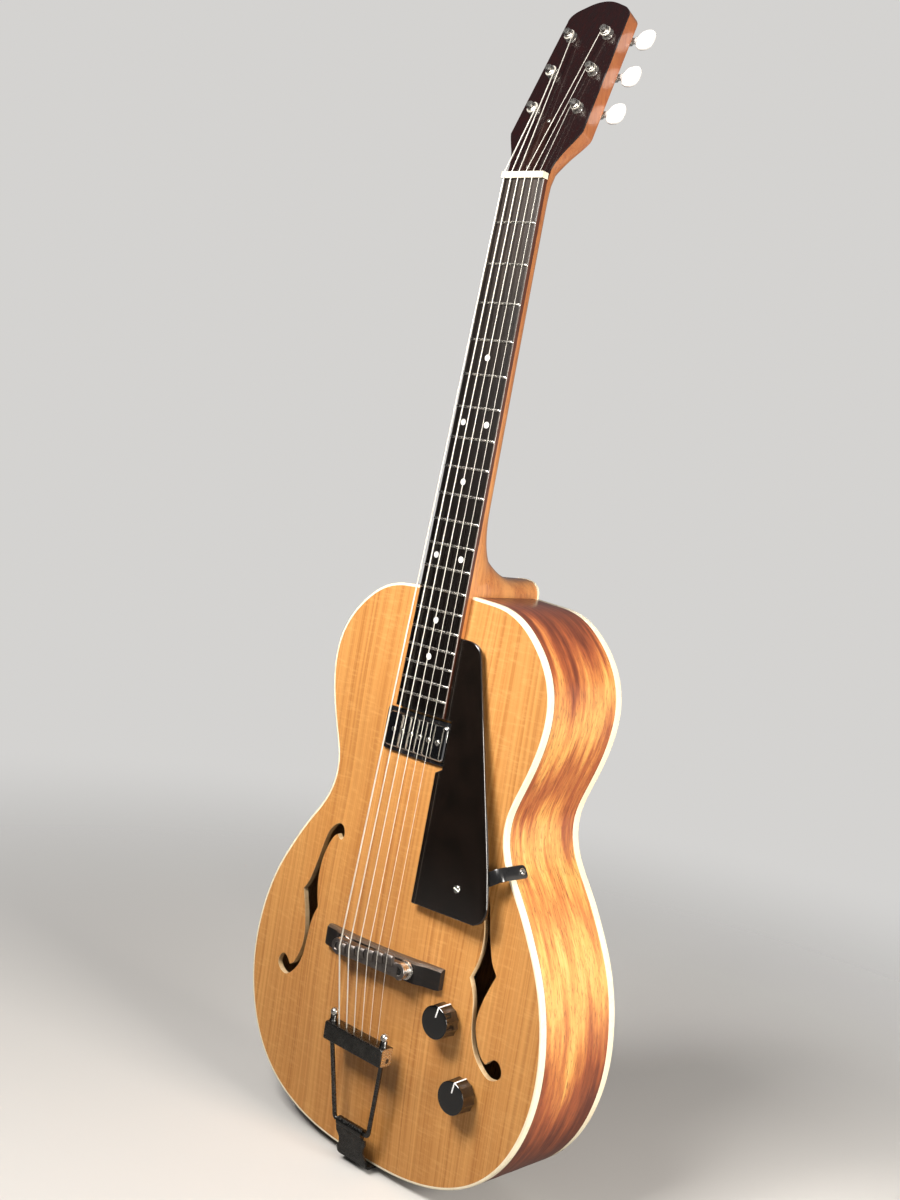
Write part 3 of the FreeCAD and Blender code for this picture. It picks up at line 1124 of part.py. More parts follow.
pots = []
can_back = []
for nm, cx, cz in CTRL:
    ys = YF - arch(cx, cz, D("arch_top"))
    # the highest point of the soundboard under the knob's rim
    high = min(YF - arch(cx + 14.4 * math.cos(a_ * 0.524), cz + 14.4 * math.sin(a_ * 0.524), D("arch_top")) for a_ in range(12))
    low = max(YF - arch(cx + 14.4 * math.cos(a_ * 0.524), cz + 14.4 * math.sin(a_ * 0.524), D("arch_top")) for a_ in range(12))
    pb = new_body(nm + "_pot_stock", None, False)
    can0 = -(low + D("plate_thk") + 0.3)
    can_back.append(D("pot_high") - can0)
    nut0 = -(min(ys, high) - 0.15)
    sk = poly_sketch(pb, nm + "_pot_section",
                     [(P("shaft_rad", 1, 0.05), can0 - D("pot_high")), (P("pot_rad"), can0 - D("pot_high")), (P("pot_rad"), can0),
                      (3.6, can0), (3.6, nut0), (6.2, nut0), (6.2, nut0 + 2.0), (3.6, nut0 + 2.0), (3.6, nut0 + 2.6),
                      (P("shaft_rad", 1, 0.05), nut0 + 2.6)])
    revolve(pb, sk)
    pots += solids(put(pb.Shape, Placement(V(cx, 0, cz), Rotation(V(1, 0, 0), 180))))
    knob_y = high - 0.5
    top_y = knob_y - D("knob_high")
    sh = new_body(nm + "_shaft", Placement(V(cx, 0, cz), Rotation(V(1, 0, 0), 180)))
    sk = poly_sketch(sh, nm + "_shaft_section", [(0.0, can0 - D("pot_high") + 0.6), (P("shaft_rad"), can0 - D("pot_high") + 0.6),
                                                 (P("shaft_rad"), -top_y - 3.0), (0.0, -top_y - 3.0)])
    revolve(sh, sk)
    kb = new_body(nm + "_knob", Placement(V(cx, knob_y, cz), Rotation(V(1, 0, 0), 180)))
    sk = poly_sketch(kb, nm + "_knob_section",
                     [(P("shaft_rad"), 5.6), (9.6, 5.6), (9.6, 0.0), (P("knob_rad"), 0.0), (P("knob_rad"), P("knob_high", 1, -2.2)),
                      (P("knob_rad", 1, -1.5), P("knob_high")), (0.0, P("knob_high")), (0.0, P("knob_high", 1, -3.0)),
                      (P("shaft_rad"), P("knob_high", 1, -3.0))])
    revolve(kb, sk)
    # one flute on the skirt, repeated round the knob
    fk = circle_sketch(kb, nm + "_knob_flute", [(0.0, D("knob_rad") + 9.2, 10.0)], "XZ_Plane")
    pf = kb.newObject("PartDesign::Pocket", nm + "_knob_flute_cut")
    pf.Profile = fk
    pf.Type = "ThroughAll"
    pf.Midplane = True
    doc.recompute()
    pp = kb.newObject("PartDesign::PolarPattern", nm + "_knob_flutes")
    pp.Originals = [pf]
    pp.Axis = (plane_of(kb, "Y_Axis"), [""])
    pp.Angle = 360.0
    pp.Occurrences = 12
    kb.Tip = pp
    doc.recompute()
feat("potentiometers", pots)

wires = []
vx, vz = CTRL[0][1], CTRL[0][2]
tx, tz = CTRL[1][1], CTRL[1][2]
vb, tb = can_back
wires.append(tube([(0, -46.0, 352.0), (0, -34.0, 338.0), (16, -24.0, 300.0), (52, -20.0, 262.0), (72, -22.0, 214.0), (vx, vb + 7.0, 172.0),
                   (vx, vb + 1.55, 158.0)], 1.5, 9.0))
wires.append(tube([(vx + 4, vb + 1.25, 142.0), (vx + 8, vb + 6.0, 130.0), (tx - 8, tb + 5.0, 116.0), (tx, tb + 1.25, 105.0)], 1.2, 5.0))
wires.append(tube([(vx - 4, vb + 1.55, 142.0), (vx - 10, -24.0, 124.0), (48, -14.0, 84.0), (18, 0.0, 66.0), (1.0, 6.5, 53.0), (0, 6.5, 34.0)],
                  1.5, 7.0))
cap_ = cyl(V(tx - 7, -27.0, 86.0), V(1, 0, 0), 3.2, 13.0)
cap_ = cap_.makeFillet(0.8, [e for e in cap_.Edges if e.Curve.TypeId == "Part::GeomCircle"])
feat("wiring_harness", wires + solids(cap_))

# ---------------------------------------------------------------- checks and files

doc.recompute()
bad = []
for o in doc.Objects:
    st = [str(x) for x in o.State]
    if "Invalid" in st or "Error" in st:
        bad.append("%s %s" % (o.Name, st))
for label, o in NODES.items():
    s = o.Shape
    if s.isNull() or not s.isValid() or not s.Solids:
        bad.append("%s shape null %s valid %s solids %d" % (label, s.isNull(), (not s.isNull()) and s.isValid(), len(s.Solids)))
    elif min(q.Volume for q in s.Solids) <= 0:
        bad.append("%s has an inside-out solid" % label)
if bad:
    for b in bad:
        print("BAD", b)
    raise SystemExit(1)

os.makedirs("parts", exist_ok=True)
for label, o in NODES.items():
    o.Shape.exportStep("parts/%s.step" % label)
print("nodes", len(NODES))
for label, o in NODES.items():
    bb = o.Shape.BoundBox
    print("%-20s solids %2d vol %9.1f  x %.1f..%.1f  y %.1f..%.1f  z %.1f..%.1f" % (
        label, len(o.Shape.Solids), o.Shape.Volume, bb.XMin, bb.XMax, bb.YMin, bb.YMax, bb.ZMin, bb.ZMax))
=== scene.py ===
import json
import math
import bpy
import bmesh
import numpy as np
from mathutils import Matrix, Vector
from mathutils.geometry import delaunay_2d_cdt

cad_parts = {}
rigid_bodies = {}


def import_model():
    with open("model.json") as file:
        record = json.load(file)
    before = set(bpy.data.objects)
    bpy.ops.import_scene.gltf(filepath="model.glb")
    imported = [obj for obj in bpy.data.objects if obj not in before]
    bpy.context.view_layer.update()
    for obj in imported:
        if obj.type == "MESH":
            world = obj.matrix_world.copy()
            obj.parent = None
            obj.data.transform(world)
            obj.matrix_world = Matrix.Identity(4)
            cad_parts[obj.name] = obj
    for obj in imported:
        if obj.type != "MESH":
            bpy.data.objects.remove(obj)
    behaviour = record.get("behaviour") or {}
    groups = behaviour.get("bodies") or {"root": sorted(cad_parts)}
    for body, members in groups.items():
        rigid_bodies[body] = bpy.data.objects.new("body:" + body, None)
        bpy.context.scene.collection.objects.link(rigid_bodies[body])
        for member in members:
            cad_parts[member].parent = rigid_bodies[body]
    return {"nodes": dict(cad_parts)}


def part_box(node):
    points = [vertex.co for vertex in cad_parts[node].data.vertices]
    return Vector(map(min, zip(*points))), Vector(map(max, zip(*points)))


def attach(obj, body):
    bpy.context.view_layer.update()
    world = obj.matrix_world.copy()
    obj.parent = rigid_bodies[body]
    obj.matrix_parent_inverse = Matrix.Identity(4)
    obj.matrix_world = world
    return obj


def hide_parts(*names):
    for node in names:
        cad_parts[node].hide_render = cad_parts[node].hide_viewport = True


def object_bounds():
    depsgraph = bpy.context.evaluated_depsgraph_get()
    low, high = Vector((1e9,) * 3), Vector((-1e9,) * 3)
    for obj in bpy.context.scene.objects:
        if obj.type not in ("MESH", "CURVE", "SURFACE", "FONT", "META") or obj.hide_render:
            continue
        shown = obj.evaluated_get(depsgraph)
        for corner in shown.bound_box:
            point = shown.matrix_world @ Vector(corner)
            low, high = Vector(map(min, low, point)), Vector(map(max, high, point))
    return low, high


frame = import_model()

CAD_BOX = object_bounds()
scene = bpy.context.scene
MM = 0.001

# ------------------------------------------------------------------ frames shared with the CAD model (mm)
YF, YB = -47.1, 47.1
PHI = math.radians(3.073)
TILT_H = math.radians(18.7)
BOARD = Matrix.Translation((0, -39.3, 811.9)) @ Matrix.Rotation(-PHI, 4, 'X')
HEAD = BOARD @ Matrix.Translation((0, 4.0, 5.0)) @ Matrix.Rotation(-TILT_H, 4, 'X')
SCALE_LEN = 628.65
BODY_LEN = 480.61


# ------------------------------------------------------------------ materials
ARC_HALF = 0.694          # length of one side from tail to neck, metres


class Mat:
    """Small node-graph builder around a Principled shader."""

    def __init__(self, name, base=(0.5, 0.5, 0.5), rough=0.4, metal=0.0, coat=0.0, coat_rough=0.05, spec=0.5, ior=1.5):
        self.m = bpy.data.materials.new(name)
        self.m.use_nodes = True
        self.nt = self.m.node_tree
        self.nt.nodes.clear()
        self.out = self.n("ShaderNodeOutputMaterial")
        self.p = self.n("ShaderNodeBsdfPrincipled")
        self.l(self.p.outputs[0], self.out.inputs[0])
        self.set("Base Color", (*base, 1))
        self.set("Roughness", rough)
        self.set("Metallic", metal)
        self.set("Coat Weight", coat)
        self.set("Coat Roughness", coat_rough)
        self.set("Specular IOR Level", spec)
        self.set("IOR", ior)
        self.tc = None

    def n(self, kind, **kw):
        node = self.nt.nodes.new(kind)
        for k, v in kw.items():
            setattr(node, k, v)
        return node

    def l(self, a, b):
        self.nt.links.new(a, b)

    def set(self, name, value):
        self.p.inputs[name].default_value = value

    def coords(self, scale, kind="Object", offset=(0, 0, 0), rot=(0, 0, 0)):
        if self.tc is None:
            self.tc = self.n("ShaderNodeTexCoord")
        mp = self.n("ShaderNodeMapping")
        mp.inputs["Scale"].default_value = scale
        mp.inputs["Location"].default_value = offset
        mp.inputs["Rotation"].default_value = rot
        self.l(self.tc.outputs[kind], mp.inputs[0])
        return mp.outputs[0]

    def noise(self, vec, scale=1.0, detail=3.0, rough=0.55, distort=0.0):
        t = self.n("ShaderNodeTexNoise")
        t.inputs["Scale"].default_value = scale
        t.inputs["Detail"].default_value = detail
        t.inputs["Roughness"].default_value = rough
        t.inputs["Distortion"].default_value = distort
        self.l(vec, t.inputs["Vector"])
        return t.outputs["Fac"]

    def ramp(self, fac, stops, interp='LINEAR'):
        r = self.n("ShaderNodeValToRGB")
        r.color_ramp.interpolation = interp
        els = r.color_ramp.elements
        while len(els) < len(stops):
            els.new(0.5)
        for e, (pos, col) in zip(els, stops):
            e.position = pos
            e.color = (*col, 1) if len(col) == 3 else col
        self.l(fac, r.inputs[0])
        return r.outputs[0]

    def mix(self, fac, a, b, mode='MIX'):
        m = self.n("ShaderNodeMix", data_type='RGBA', blend_type=mode)
        if hasattr(fac, "links"):
            self.l(fac, m.inputs[0])
        else:
            m.inputs[0].default_value = fac
        for q, s in ((a, m.inputs[6]), (b, m.inputs[7])):
            if hasattr(q, "links"):
                self.l(q, s)
            else:
                s.default_value = (*q, 1)
        return m.outputs[2]

    def math(self, op, a, b=None, clamp=False):
        m = self.n("ShaderNodeMath", operation=op)
        m.use_clamp = clamp
        for q, s in ((a, m.inputs[0]), (b, m.inputs[1])):
            if q is None:
                continue
            if hasattr(q, "links"):
                self.l(q, s)
            else:
                s.default_value = q
        return m.outputs[0]

    def maprange(self, v, a, b, c, d):
        m = self.n("ShaderNodeMapRange")
        m.inputs[1].default_value = a
        m.inputs[2].default_value = b
        m.inputs[3].default_value = c
        m.inputs[4].default_value = d
        self.l(v, m.inputs[0])
        return m.outputs[0]

    def bump(self, height, dist=0.0002, strength=0.3):
        b = self.n("ShaderNodeBump")
        b.inputs["Distance"].default_value = dist
        b.inputs["Strength"].default_value = strength
        self.l(height, b.inputs["Height"])
        self.l(b.outputs[0], self.p.inputs["Normal"])

    def colour(self, c):
        self.l(c, self.p.inputs["Base Color"])

    def roughness(self, r):
        self.l(r, self.p.inputs["Roughness"])


def wood_spruce(name, pale=False):
    w = Mat(name, rough=0.36, coat=0.0 if pale else 0.25, coat_rough=0.09, spec=0.35)
    warp = w.noise(w.coords((5, 5, 2.4)), 1.0, 2.0)
    warp_x = w.math('MULTIPLY', w.math('SUBTRACT', warp, 0.5), 0.012)
    sep = w.n("ShaderNodeSeparateXYZ")
    w.l(w.coords((1, 1, 1)), sep.inputs[0])
    com = w.n("ShaderNodeCombineXYZ")
    w.l(w.math('ADD', sep.outputs[0], warp_x), com.inputs[0])
    w.l(sep.outputs[1], com.inputs[1])
    w.l(sep.outputs[2], com.inputs[2])

    def mapped(scale, offset=(0, 0, 0)):
        mp = w.n("ShaderNodeMapping")
        mp.inputs["Scale"].default_value = scale
        mp.inputs["Location"].default_value = offset
        w.l(com.outputs[0], mp.inputs[0])
        return mp.outputs[0]
    lines = w.noise(mapped((330, 30, 2.0)), 1.0, 3.0, 0.62)
    hair = w.noise(mapped((780, 60, 4.0)), 1.0, 2.0, 0.5)
    fine = w.noise(mapped((1900, 120, 16)), 1.0, 2.0, 0.6)
    band = w.noise(mapped((40, 10, 0.9)), 1.0, 3.0, 0.55)
    streak = w.noise(mapped((150, 20, 1.3), (0.37, 0.1, 0.2)), 1.0, 2.0, 0.5)
    silk = w.noise(mapped((75, 30, 430)), 1.0, 3.0, 0.6)
    patch = w.noise(mapped((14, 8, 6)), 1.0, 2.0)
    if pale:
        a, b, c, d = (0.62, 0.42, 0.22), (0.70, 0.50, 0.28), (0.76, 0.57, 0.34), (0.58, 0.38, 0.19)
    else:
        a, b, c, d = (0.415, 0.165, 0.040), (0.560, 0.252, 0.070), (0.660, 0.325, 0.100), (0.470, 0.195, 0.048)
    col = w.ramp(lines, [(0.32, a), (0.46, b), (0.62, c)])
    col = w.mix(w.maprange(hair, 0.50, 0.68, 0.0, 0.42), col, a)
    col = w.mix(w.maprange(band, 0.50, 0.72, 0.0, 0.40), col, d)
    col = w.mix(w.maprange(streak, 0.58, 0.70, 0.0, 0.45), col, (0.36, 0.135, 0.033) if not pale else a)
    col = w.mix(w.maprange(fine, 0.30, 0.72, 0.14, 0.0), col, a)
    col = w.mix(w.maprange(silk, 0.50, 0.74, 0.0, 0.30), col, (0.80, 0.455, 0.165) if not pale else (0.8, 0.62, 0.4))
    col = w.mix(w.maprange(patch, 0.35, 0.70, 0.14, 0.0), col, (0.50, 0.22, 0.055) if not pale else (0.6, 0.4, 0.2))
    w.colour(col)
    w.roughness(w.maprange(lines, 0.2, 0.8, 0.42, 0.32))
    w.bump(lines, 0.00006, 0.25)
    return w.m


def wood_mahogany(name, kind="Object", along=2, light=(0.59, 0.215, 0.060), mid=(0.455, 0.140, 0.041), dark=(0.270, 0.066, 0.024),
                  coat=0.6, figure=True, edge=None, coat_rough=0.12, zones=False):
    w = Mat(name, rough=0.36, coat=coat, coat_rough=coat_rough)

    def sc(a, c):
        s = [a, a, a]
        s[along] = c
        return tuple(s)
    grain = w.noise(w.coords(sc(260, 7), kind), 1.0, 4.0, 0.6, 0.4)
    fibre = w.noise(w.coords(sc(1300, 28), kind), 1.0, 2.0, 0.6)
    pores = w.noise(w.coords(sc(1500, 90), kind, offset=(3.1, 1.7, 0.4)), 1.0, 2.0, 0.55)
    col = w.ramp(grain, [(0.28, dark), (0.50, mid), (0.74, light)])
    if figure:
        fig = w.noise(w.coords(sc(7, 13), kind, offset=(0.7, 0.2, 0.35)), 1.0, 2.0, 0.5, 0.6)
        fine_fig = w.noise(w.coords(sc(30, 60), kind), 1.0, 2.0, 0.5)
        if kind == "UV":
            # bands of golden and red wood that run into one another in long fingers, set by position along the arc:
            # partly wood figure, partly painted light, lighter where the sides face the side lamp and darker towards
            # the tail and neck ends
            sepu = w.n("ShaderNodeSeparateXYZ")
            w.l(w.tc.outputs[kind], sepu.inputs[0])
            finger = w.noise(w.coords((4.6, 46, 1), kind, offset=(0.3, 0.11, 0)), 1.0, 3.0, 0.62)
            wob = w.math('MULTIPLY', w.math('SUBTRACT', finger, 0.5), 0.25)
            along_u = w.math('ADD', w.math('PINGPONG', sepu.outputs[0], ARC_HALF), wob)
            figure_and_painted_light = w.ramp(w.math('DIVIDE', along_u, ARC_HALF), [(p_, (v_,) * 3) for p_, v_ in (
                (0.0, 0.02), (0.24, 0.04), (0.325, 0.20), (0.395, 0.58), (0.435, 0.82), (0.48, 0.80), (0.515, 0.58), (0.545, 0.56), (0.58, 0.82), (0.61, 0.72),
                (0.65, 0.36), (0.70, 0.34), (0.74, 0.70), (0.775, 0.74), (0.82, 0.50), (0.865, 0.12), (0.93, 0.02))])
            mott = w.noise(w.coords((26, 95, 1), kind), 1.0, 3.0, 0.6)
            tone = w.math('ADD', figure_and_painted_light, w.math('MULTIPLY', w.math('SUBTRACT', mott, 0.5), 0.50))
            tone = w.math('ADD', tone, w.math('MULTIPLY', w.math('SUBTRACT', grain, 0.5), 0.60), True)
            col = w.ramp(tone, [(0.0, (0.105, 0.025, 0.013)), (0.28, (0.345, 0.088, 0.029)), (0.55, (0.600, 0.222, 0.058)), (0.80, (0.790, 0.420, 0.110)),
                                (1.0, (0.870, 0.540, 0.180))])
            # painted shade: the sides darken to near black towards the tail end, where they face downwards
            col = w.mix(w.maprange(w.math('DIVIDE', along_u, ARC_HALF), 0.32, 0.12, 0.0, 0.70), col, (0.040, 0.010, 0.007))
            fleck = w.noise(w.coords((120, 720, 1), kind, offset=(1.3, 0.4, 0)), 1.0, 2.0, 0.6, 0.5)
            col = w.mix(w.maprange(fleck, 0.57, 0.66, 0.0, 0.55), col, (0.21, 0.062, 0.020))
        else:
            col = w.mix(w.maprange(fig, 0.48, 0.66, 0.0, 0.72), col, (0.66, 0.285, 0.085))
            col = w.mix(w.maprange(fig, 0.46, 0.30, 0.0, 0.60), col, (0.215, 0.046, 0.018))
            col = w.mix(w.maprange(fine_fig, 0.50, 0.70, 0.0, 0.22), col, (0.62, 0.25, 0.07))
    col = w.mix(w.maprange(fibre, 0.35, 0.65, 0.22, 0.0), col, dark)
    col = w.mix(w.maprange(pores, 0.60, 0.66, 0.0, 0.62), col, (0.075, 0.022, 0.011))
    if zones:
        sepz = w.n("ShaderNodeSeparateXYZ")
        w.l(w.tc.outputs[kind], sepz.inputs[0])
        col = w.mix(w.maprange(sepz.outputs[2], 0.74, 0.88, 0.0, 0.52), col, (0.310, 0.080, 0.032))
        mott = w.noise(w.coords((70, 70, 26), kind), 1.0, 3.0, 0.6)
        gold = w.math('MULTIPLY', w.maprange(sepz.outputs[2], 0.66, 0.53, 0.0, 0.55), w.maprange(mott, 0.34, 0.66, 0.0, 1.0))
        col = w.mix(gold, col, (0.780, 0.370, 0.115))
    if edge is not None:
        sep = w.n("ShaderNodeSeparateXYZ")
        w.l(w.tc.outputs[kind], sep.inputs[0])
        v = w.math('ABSOLUTE', sep.outputs[edge[0]])
        col = w.mix(w.maprange(v, edge[1], edge[1] + 0.0001, 0.0, 1.0), col, (0.02, 0.012, 0.009))
    w.colour(col)
    w.roughness(w.maprange(grain, 0.2, 0.8, 0.42, 0.32))
    w.bump(pores, 0.00008, 0.35)
    return w.m


def wood_dark(name, a, b, c, along=2, coat=0.15, rough=0.42, coat_rough=0.15, painted_sheen_and_gloss=None):
    w = Mat(name, rough=rough, coat=coat, coat_rough=coat_rough)
    s1, s2 = [420] * 3, [1700] * 3
    s1[along], s2[along] = 9, 60
    streak = w.noise(w.coords(tuple(s1)), 1.0, 4.0, 0.6, 0.3)
    pores = w.noise(w.coords(tuple(s2)), 1.0, 2.0, 0.55)
    col = w.ramp(streak, [(0.30, a), (0.52, b), (0.75, c)])
    col = w.mix(w.maprange(pores, 0.58, 0.66, 0.0, 0.6), col, tuple(v * 0.4 for v in a))
    rgh = w.maprange(streak, 0.2, 0.8, rough + 0.08, rough - 0.06)
    if painted_sheen_and_gloss:
        sep = w.n("ShaderNodeSeparateXYZ")
        w.l(w.tc.outputs["Object"], sep.inputs[0])
        # painted sheen: the colour is multiplied by a ramp over height, near black at the low end and full at the top,
        # so the nut end of the board reads lighter; roughness is lower towards the low end
        height = w.maprange(sep.outputs[2], painted_sheen_and_gloss[0], painted_sheen_and_gloss[1], 0.0, 1.0)
        col = w.mix(1.0, col, w.ramp(height, [(p_, (v_,) * 3) for p_, v_ in painted_sheen_and_gloss[2]]), 'MULTIPLY')
        rgh = w.math('ADD', rgh, w.maprange(sep.outputs[2], painted_sheen_and_gloss[0], painted_sheen_and_gloss[1], painted_sheen_and_gloss[3], 0.0))
    w.colour(col)
    w.roughness(rgh)
    w.bump(pores, 0.00006, 0.3)
    return w.m


def plastic(name, base, var, rough=0.22, coat=0.5, scale=90.0, coat_rough=0.04, bump=0.00003):
    w = Mat(name, rough=rough, coat=coat, coat_rough=coat_rough)
    n1 = w.noise(w.coords((scale,) * 3), 1.0, 4.0, 0.6)
    n2 = w.noise(w.coords((1400,) * 3), 1.0, 2.0, 0.5)
    col = w.ramp(n1, [(0.3, base), (0.7, var)])
    w.colour(col)
    w.roughness(w.maprange(n1, 0.3, 0.7, rough * 0.8, rough * 1.3))
    w.bump(n2, bump, 0.15)
    return w.m


def metal(name, base, var, rough=0.16, scale=160.0, brushed=None, bump=0.00002, amount=1.0):
    w = Mat(name, rough=rough, metal=amount)
    n1 = w.noise(w.coords((scale,) * 3), 1.0, 4.0, 0.6)
    sc = brushed or (900, 900, 900)
    n2 = w.noise(w.coords(sc), 1.0, 3.0, 0.6)
    col = w.ramp(n1, [(0.3, base), (0.7, var)])
    w.colour(col)
    w.roughness(w.maprange(n2, 0.25, 0.75, rough * 0.65, rough * 1.45))
    w.bump(n2, bump, 0.2)
    return w.m


def wound_string(name):
    w = Mat(name, rough=0.40, metal=0.6)
    n1 = w.noise(w.coords((300, 300, 40)), 1.0, 3.0, 0.6)
    wave = w.n("ShaderNodeTexWave", wave_type='BANDS', bands_direction='Z')
    wave.inputs["Scale"].default_value = 520.0
    w.l(w.coords((1, 1, 1)), wave.inputs["Vector"])
    w.colour(w.ramp(n1, [(0.3, (0.80, 0.76, 0.67)), (0.7, (0.88, 0.85, 0.78))]))
    w.roughness(w.maprange(n1, 0.3, 0.7, 0.36, 0.50))
    w.bump(wave.outputs["Fac"], 0.00003, 0.2)
    return w.m


M = {
    "spruce": wood_spruce("spruce_lacquered"),
    "spruce_edge": wood_spruce("spruce_bare", True),
    "ribs": wood_mahogany("mahogany_sides", "UV", 0, edge=(1, 0.0406), coat=0.35, coat_rough=0.22),
    "back": wood_mahogany("mahogany_back", "Object", 2),
    "neck": wood_mahogany("mahogany_neck", "Object", 2, light=(0.600, 0.250, 0.075), mid=(0.500, 0.185, 0.052), dark=(0.340, 0.105, 0.031),
                          coat=0.80, figure=False, coat_rough=0.06, zones=True),
    "inner": wood_dark("bare_wood", (0.46, 0.30, 0.16), (0.55, 0.37, 0.20), (0.62, 0.43, 0.25), coat=0.0, rough=0.6),
    # the fingerboard's height ramp is a painted sheen, lighter towards the nut end
    "rosewood": wood_dark("fingerboard_wood", (0.022, 0.015, 0.012), (0.040, 0.028, 0.022), (0.066, 0.047, 0.036), coat=0.1,
                          painted_sheen_and_gloss=(0.38, 0.81, ((0.0, 0.08), (0.35, 0.12), (0.62, 0.22), (0.76, 0.36), (0.88, 0.75), (1.0, 1.0)), -0.20)),
    "board_side": wood_dark("fingerboard_side", (0.060, 0.014, 0.006), (0.085, 0.021, 0.008), (0.120, 0.034, 0.013), coat=0.15),
    # fingerboard edges: a real glossy coat, with a lighter colour that is a painted highlight along the eased edges
    "board_edge_highlight": wood_dark("fingerboard_edge_painted_highlight", (0.10, 0.075, 0.062), (0.14, 0.11, 0.092), (0.18, 0.145, 0.125), coat=1.0, rough=0.30, coat_rough=0.20),
    "cover_brown": plastic("cover_brown", (0.016, 0.0055, 0.0042), (0.030, 0.0110, 0.0080), rough=0.22, coat=1.0, scale=90, coat_rough=0.05),
    "satin": metal("satin_nickel", (0.82, 0.80, 0.74), (0.90, 0.88, 0.83), rough=0.40, amount=0.35),
    "ebony": wood_dark("bridge_wood", (0.0045, 0.0036, 0.0030), (0.0075, 0.0056, 0.0046), (0.0150, 0.0098, 0.0070), along=0, coat=0.15, rough=0.42),
    "veneer": wood_dark("headstock_face", (0.0075, 0.0019, 0.0021), (0.0125, 0.0030, 0.0033), (0.0210, 0.0052, 0.0050), coat=1.0, rough=0.25, coat_rough=0.03),
    "cream": plastic("cream_binding", (0.87, 0.76, 0.54), (0.92, 0.83, 0.62), rough=0.28, coat=0.4, scale=60),
    "bone": plastic("bone_nut", (0.80, 0.72, 0.55), (0.88, 0.81, 0.66), rough=0.32, coat=0.2, scale=220),
    "pearl": plastic("dot_pearl", (0.78, 0.77, 0.72), (0.90, 0.88, 0.84), rough=0.22, coat=0.5, scale=500),
    "white": plastic("button_white", (0.86, 0.85, 0.82), (0.92, 0.91, 0.89), rough=0.2, coat=0.6, scale=80),
    "black": plastic("black_plastic", (0.008, 0.008, 0.009), (0.014, 0.014, 0.015), rough=0.2, coat=0.8, scale=200),
    "guard": plastic("guard_sheet", (0.0042, 0.0032, 0.0024), (0.0085, 0.0050, 0.0035), rough=0.18, coat=1.0, scale=55, coat_rough=0.03),
    "black_metal": metal("black_metal", (0.030, 0.030, 0.032), (0.050, 0.050, 0.052), rough=0.35),
    "nickel": metal("nickel_plate", (0.72, 0.69, 0.64), (0.82, 0.79, 0.74), rough=0.25),
    "fret": metal("fret_wire", (0.64, 0.61, 0.56), (0.74, 0.71, 0.66), rough=0.24),
    "chrome": metal("chrome_cover", (0.70, 0.69, 0.67), (0.78, 0.77, 0.76), rough=0.09),
    "saddle": metal("saddle_metal", (0.185, 0.166, 0.154), (0.255, 0.230, 0.212), rough=0.42),
    "gloss_black": plastic("gloss_black", (0.0022, 0.0022, 0.0024), (0.0040, 0.0040, 0.0042), rough=0.16, coat=1.0, scale=200, coat_rough=0.05),
    "bracket_black": plastic("bracket_black", (0.0040, 0.0040, 0.0042), (0.0065, 0.0065, 0.0068), rough=0.32, coat=1.0, scale=200, coat_rough=0.20),
    # bridge faces turned upwards: a lighter brown, painted light from the lamps above
    "bridge_lit_top": wood_dark("bridge_wood_painted_lit_top", (0.060, 0.036, 0.021), (0.095, 0.058, 0.034), (0.140, 0.088, 0.052), along=0, coat=0.08, rough=0.5),
    "dark_nickel": metal("dark_nickel", (0.074, 0.072, 0.069), (0.128, 0.125, 0.120), rough=0.27),
    "steel": metal("plain_steel", (0.45, 0.45, 0.45), (0.56, 0.56, 0.56), rough=0.3),
    "string": wound_string("string_wire"),
    "cable": plastic("cable_sheath", (0.02, 0.02, 0.02), (0.035, 0.035, 0.035), rough=0.5, coat=0.0),
    "coil": plastic("coil_bobbin", (0.015, 0.012, 0.012), (0.03, 0.022, 0.02), rough=0.5, coat=0.0),
}

NODE_MAT = {
    "soundboard": "spruce", "back_plate": "back", "ribs": "ribs", "neck_block": "inner", "tail_block": "inner", "kerfed_linings": "inner",
    "tone_bars": "inner", "top_binding": "cream", "back_binding": "cream", "neck": "neck", "heel_cap": "cream", "fingerboard": "rosewood",
    "frets": "fret", "dot_inlays": "pearl", "nut": "bone", "headstock_veneer": "veneer", "truss_rod": "steel", "truss_rod_cover": "cover_brown",
    "tuner_plates": "nickel", "tuner_bushings": "nickel", "wood_screws": "nickel", "pickup_cover": "chrome", "pickup_coil": "coil",
    "pickup_poles": "nickel", "pickup_frame": "black", "pickguard": "guard", "pickguard_bracket": "black_metal", "bridge_base": "ebony",
    "bridge_bar": "dark_nickel", "bridge_studs": "nickel", "tailpiece_bar": "dark_nickel", "tailpiece_rods": "dark_nickel",
    "tailpiece_hinge": "dark_nickel", "tailpiece_finials": "dark_nickel", "strings": "string", "output_jack": "nickel", "potentiometers": "steel",
    "wiring_harness": "cable", "volume_knob": "black", "tone_knob": "black", "volume_shaft": "steel", "tone_shaft": "steel",
}
for i in range(1, 7):
    NODE_MAT["tuner_button_%d" % i] = "white"
    NODE_MAT["tuner_worm_%d" % i] = "satin"
    NODE_MAT["tuner_post_%d" % i] = "nickel"
for node, key in NODE_MAT.items():
    ob = frame["nodes"][node]
    for c in [ob] + list(ob.children_recursive):
        if c.type == 'MESH':
            c.data.materials.clear()
            c.data.materials.append(M[key])


# ------------------------------------------------------------------ mesh helpers
def piece(name, bm, mats, body="guitar", replaces=(), sharp=38.0):
    """Turns a bmesh drawn in millimetres into a piece of the object."""
    bmesh.ops.scale(bm, vec=(MM, MM, MM), verts=bm.verts)
    for f in bm.faces:
        f.smooth = True
    lim = math.radians(sharp)
    for e in bm.edges:
        e.smooth = not (len(e.link_faces) != 2 or e.calc_face_angle(0.0) > lim)
    me = bpy.data.meshes.new(name)
    bm.to_mesh(me)
    bm.free()
    ob = bpy.data.objects.new(name, me)
    scene.collection.objects.link(ob)
    for m in (mats if isinstance(mats, (list, tuple)) else [mats]):
        me.materials.append(M[m])
    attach(ob, body)
    if replaces:
        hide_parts(*replaces)
    return ob


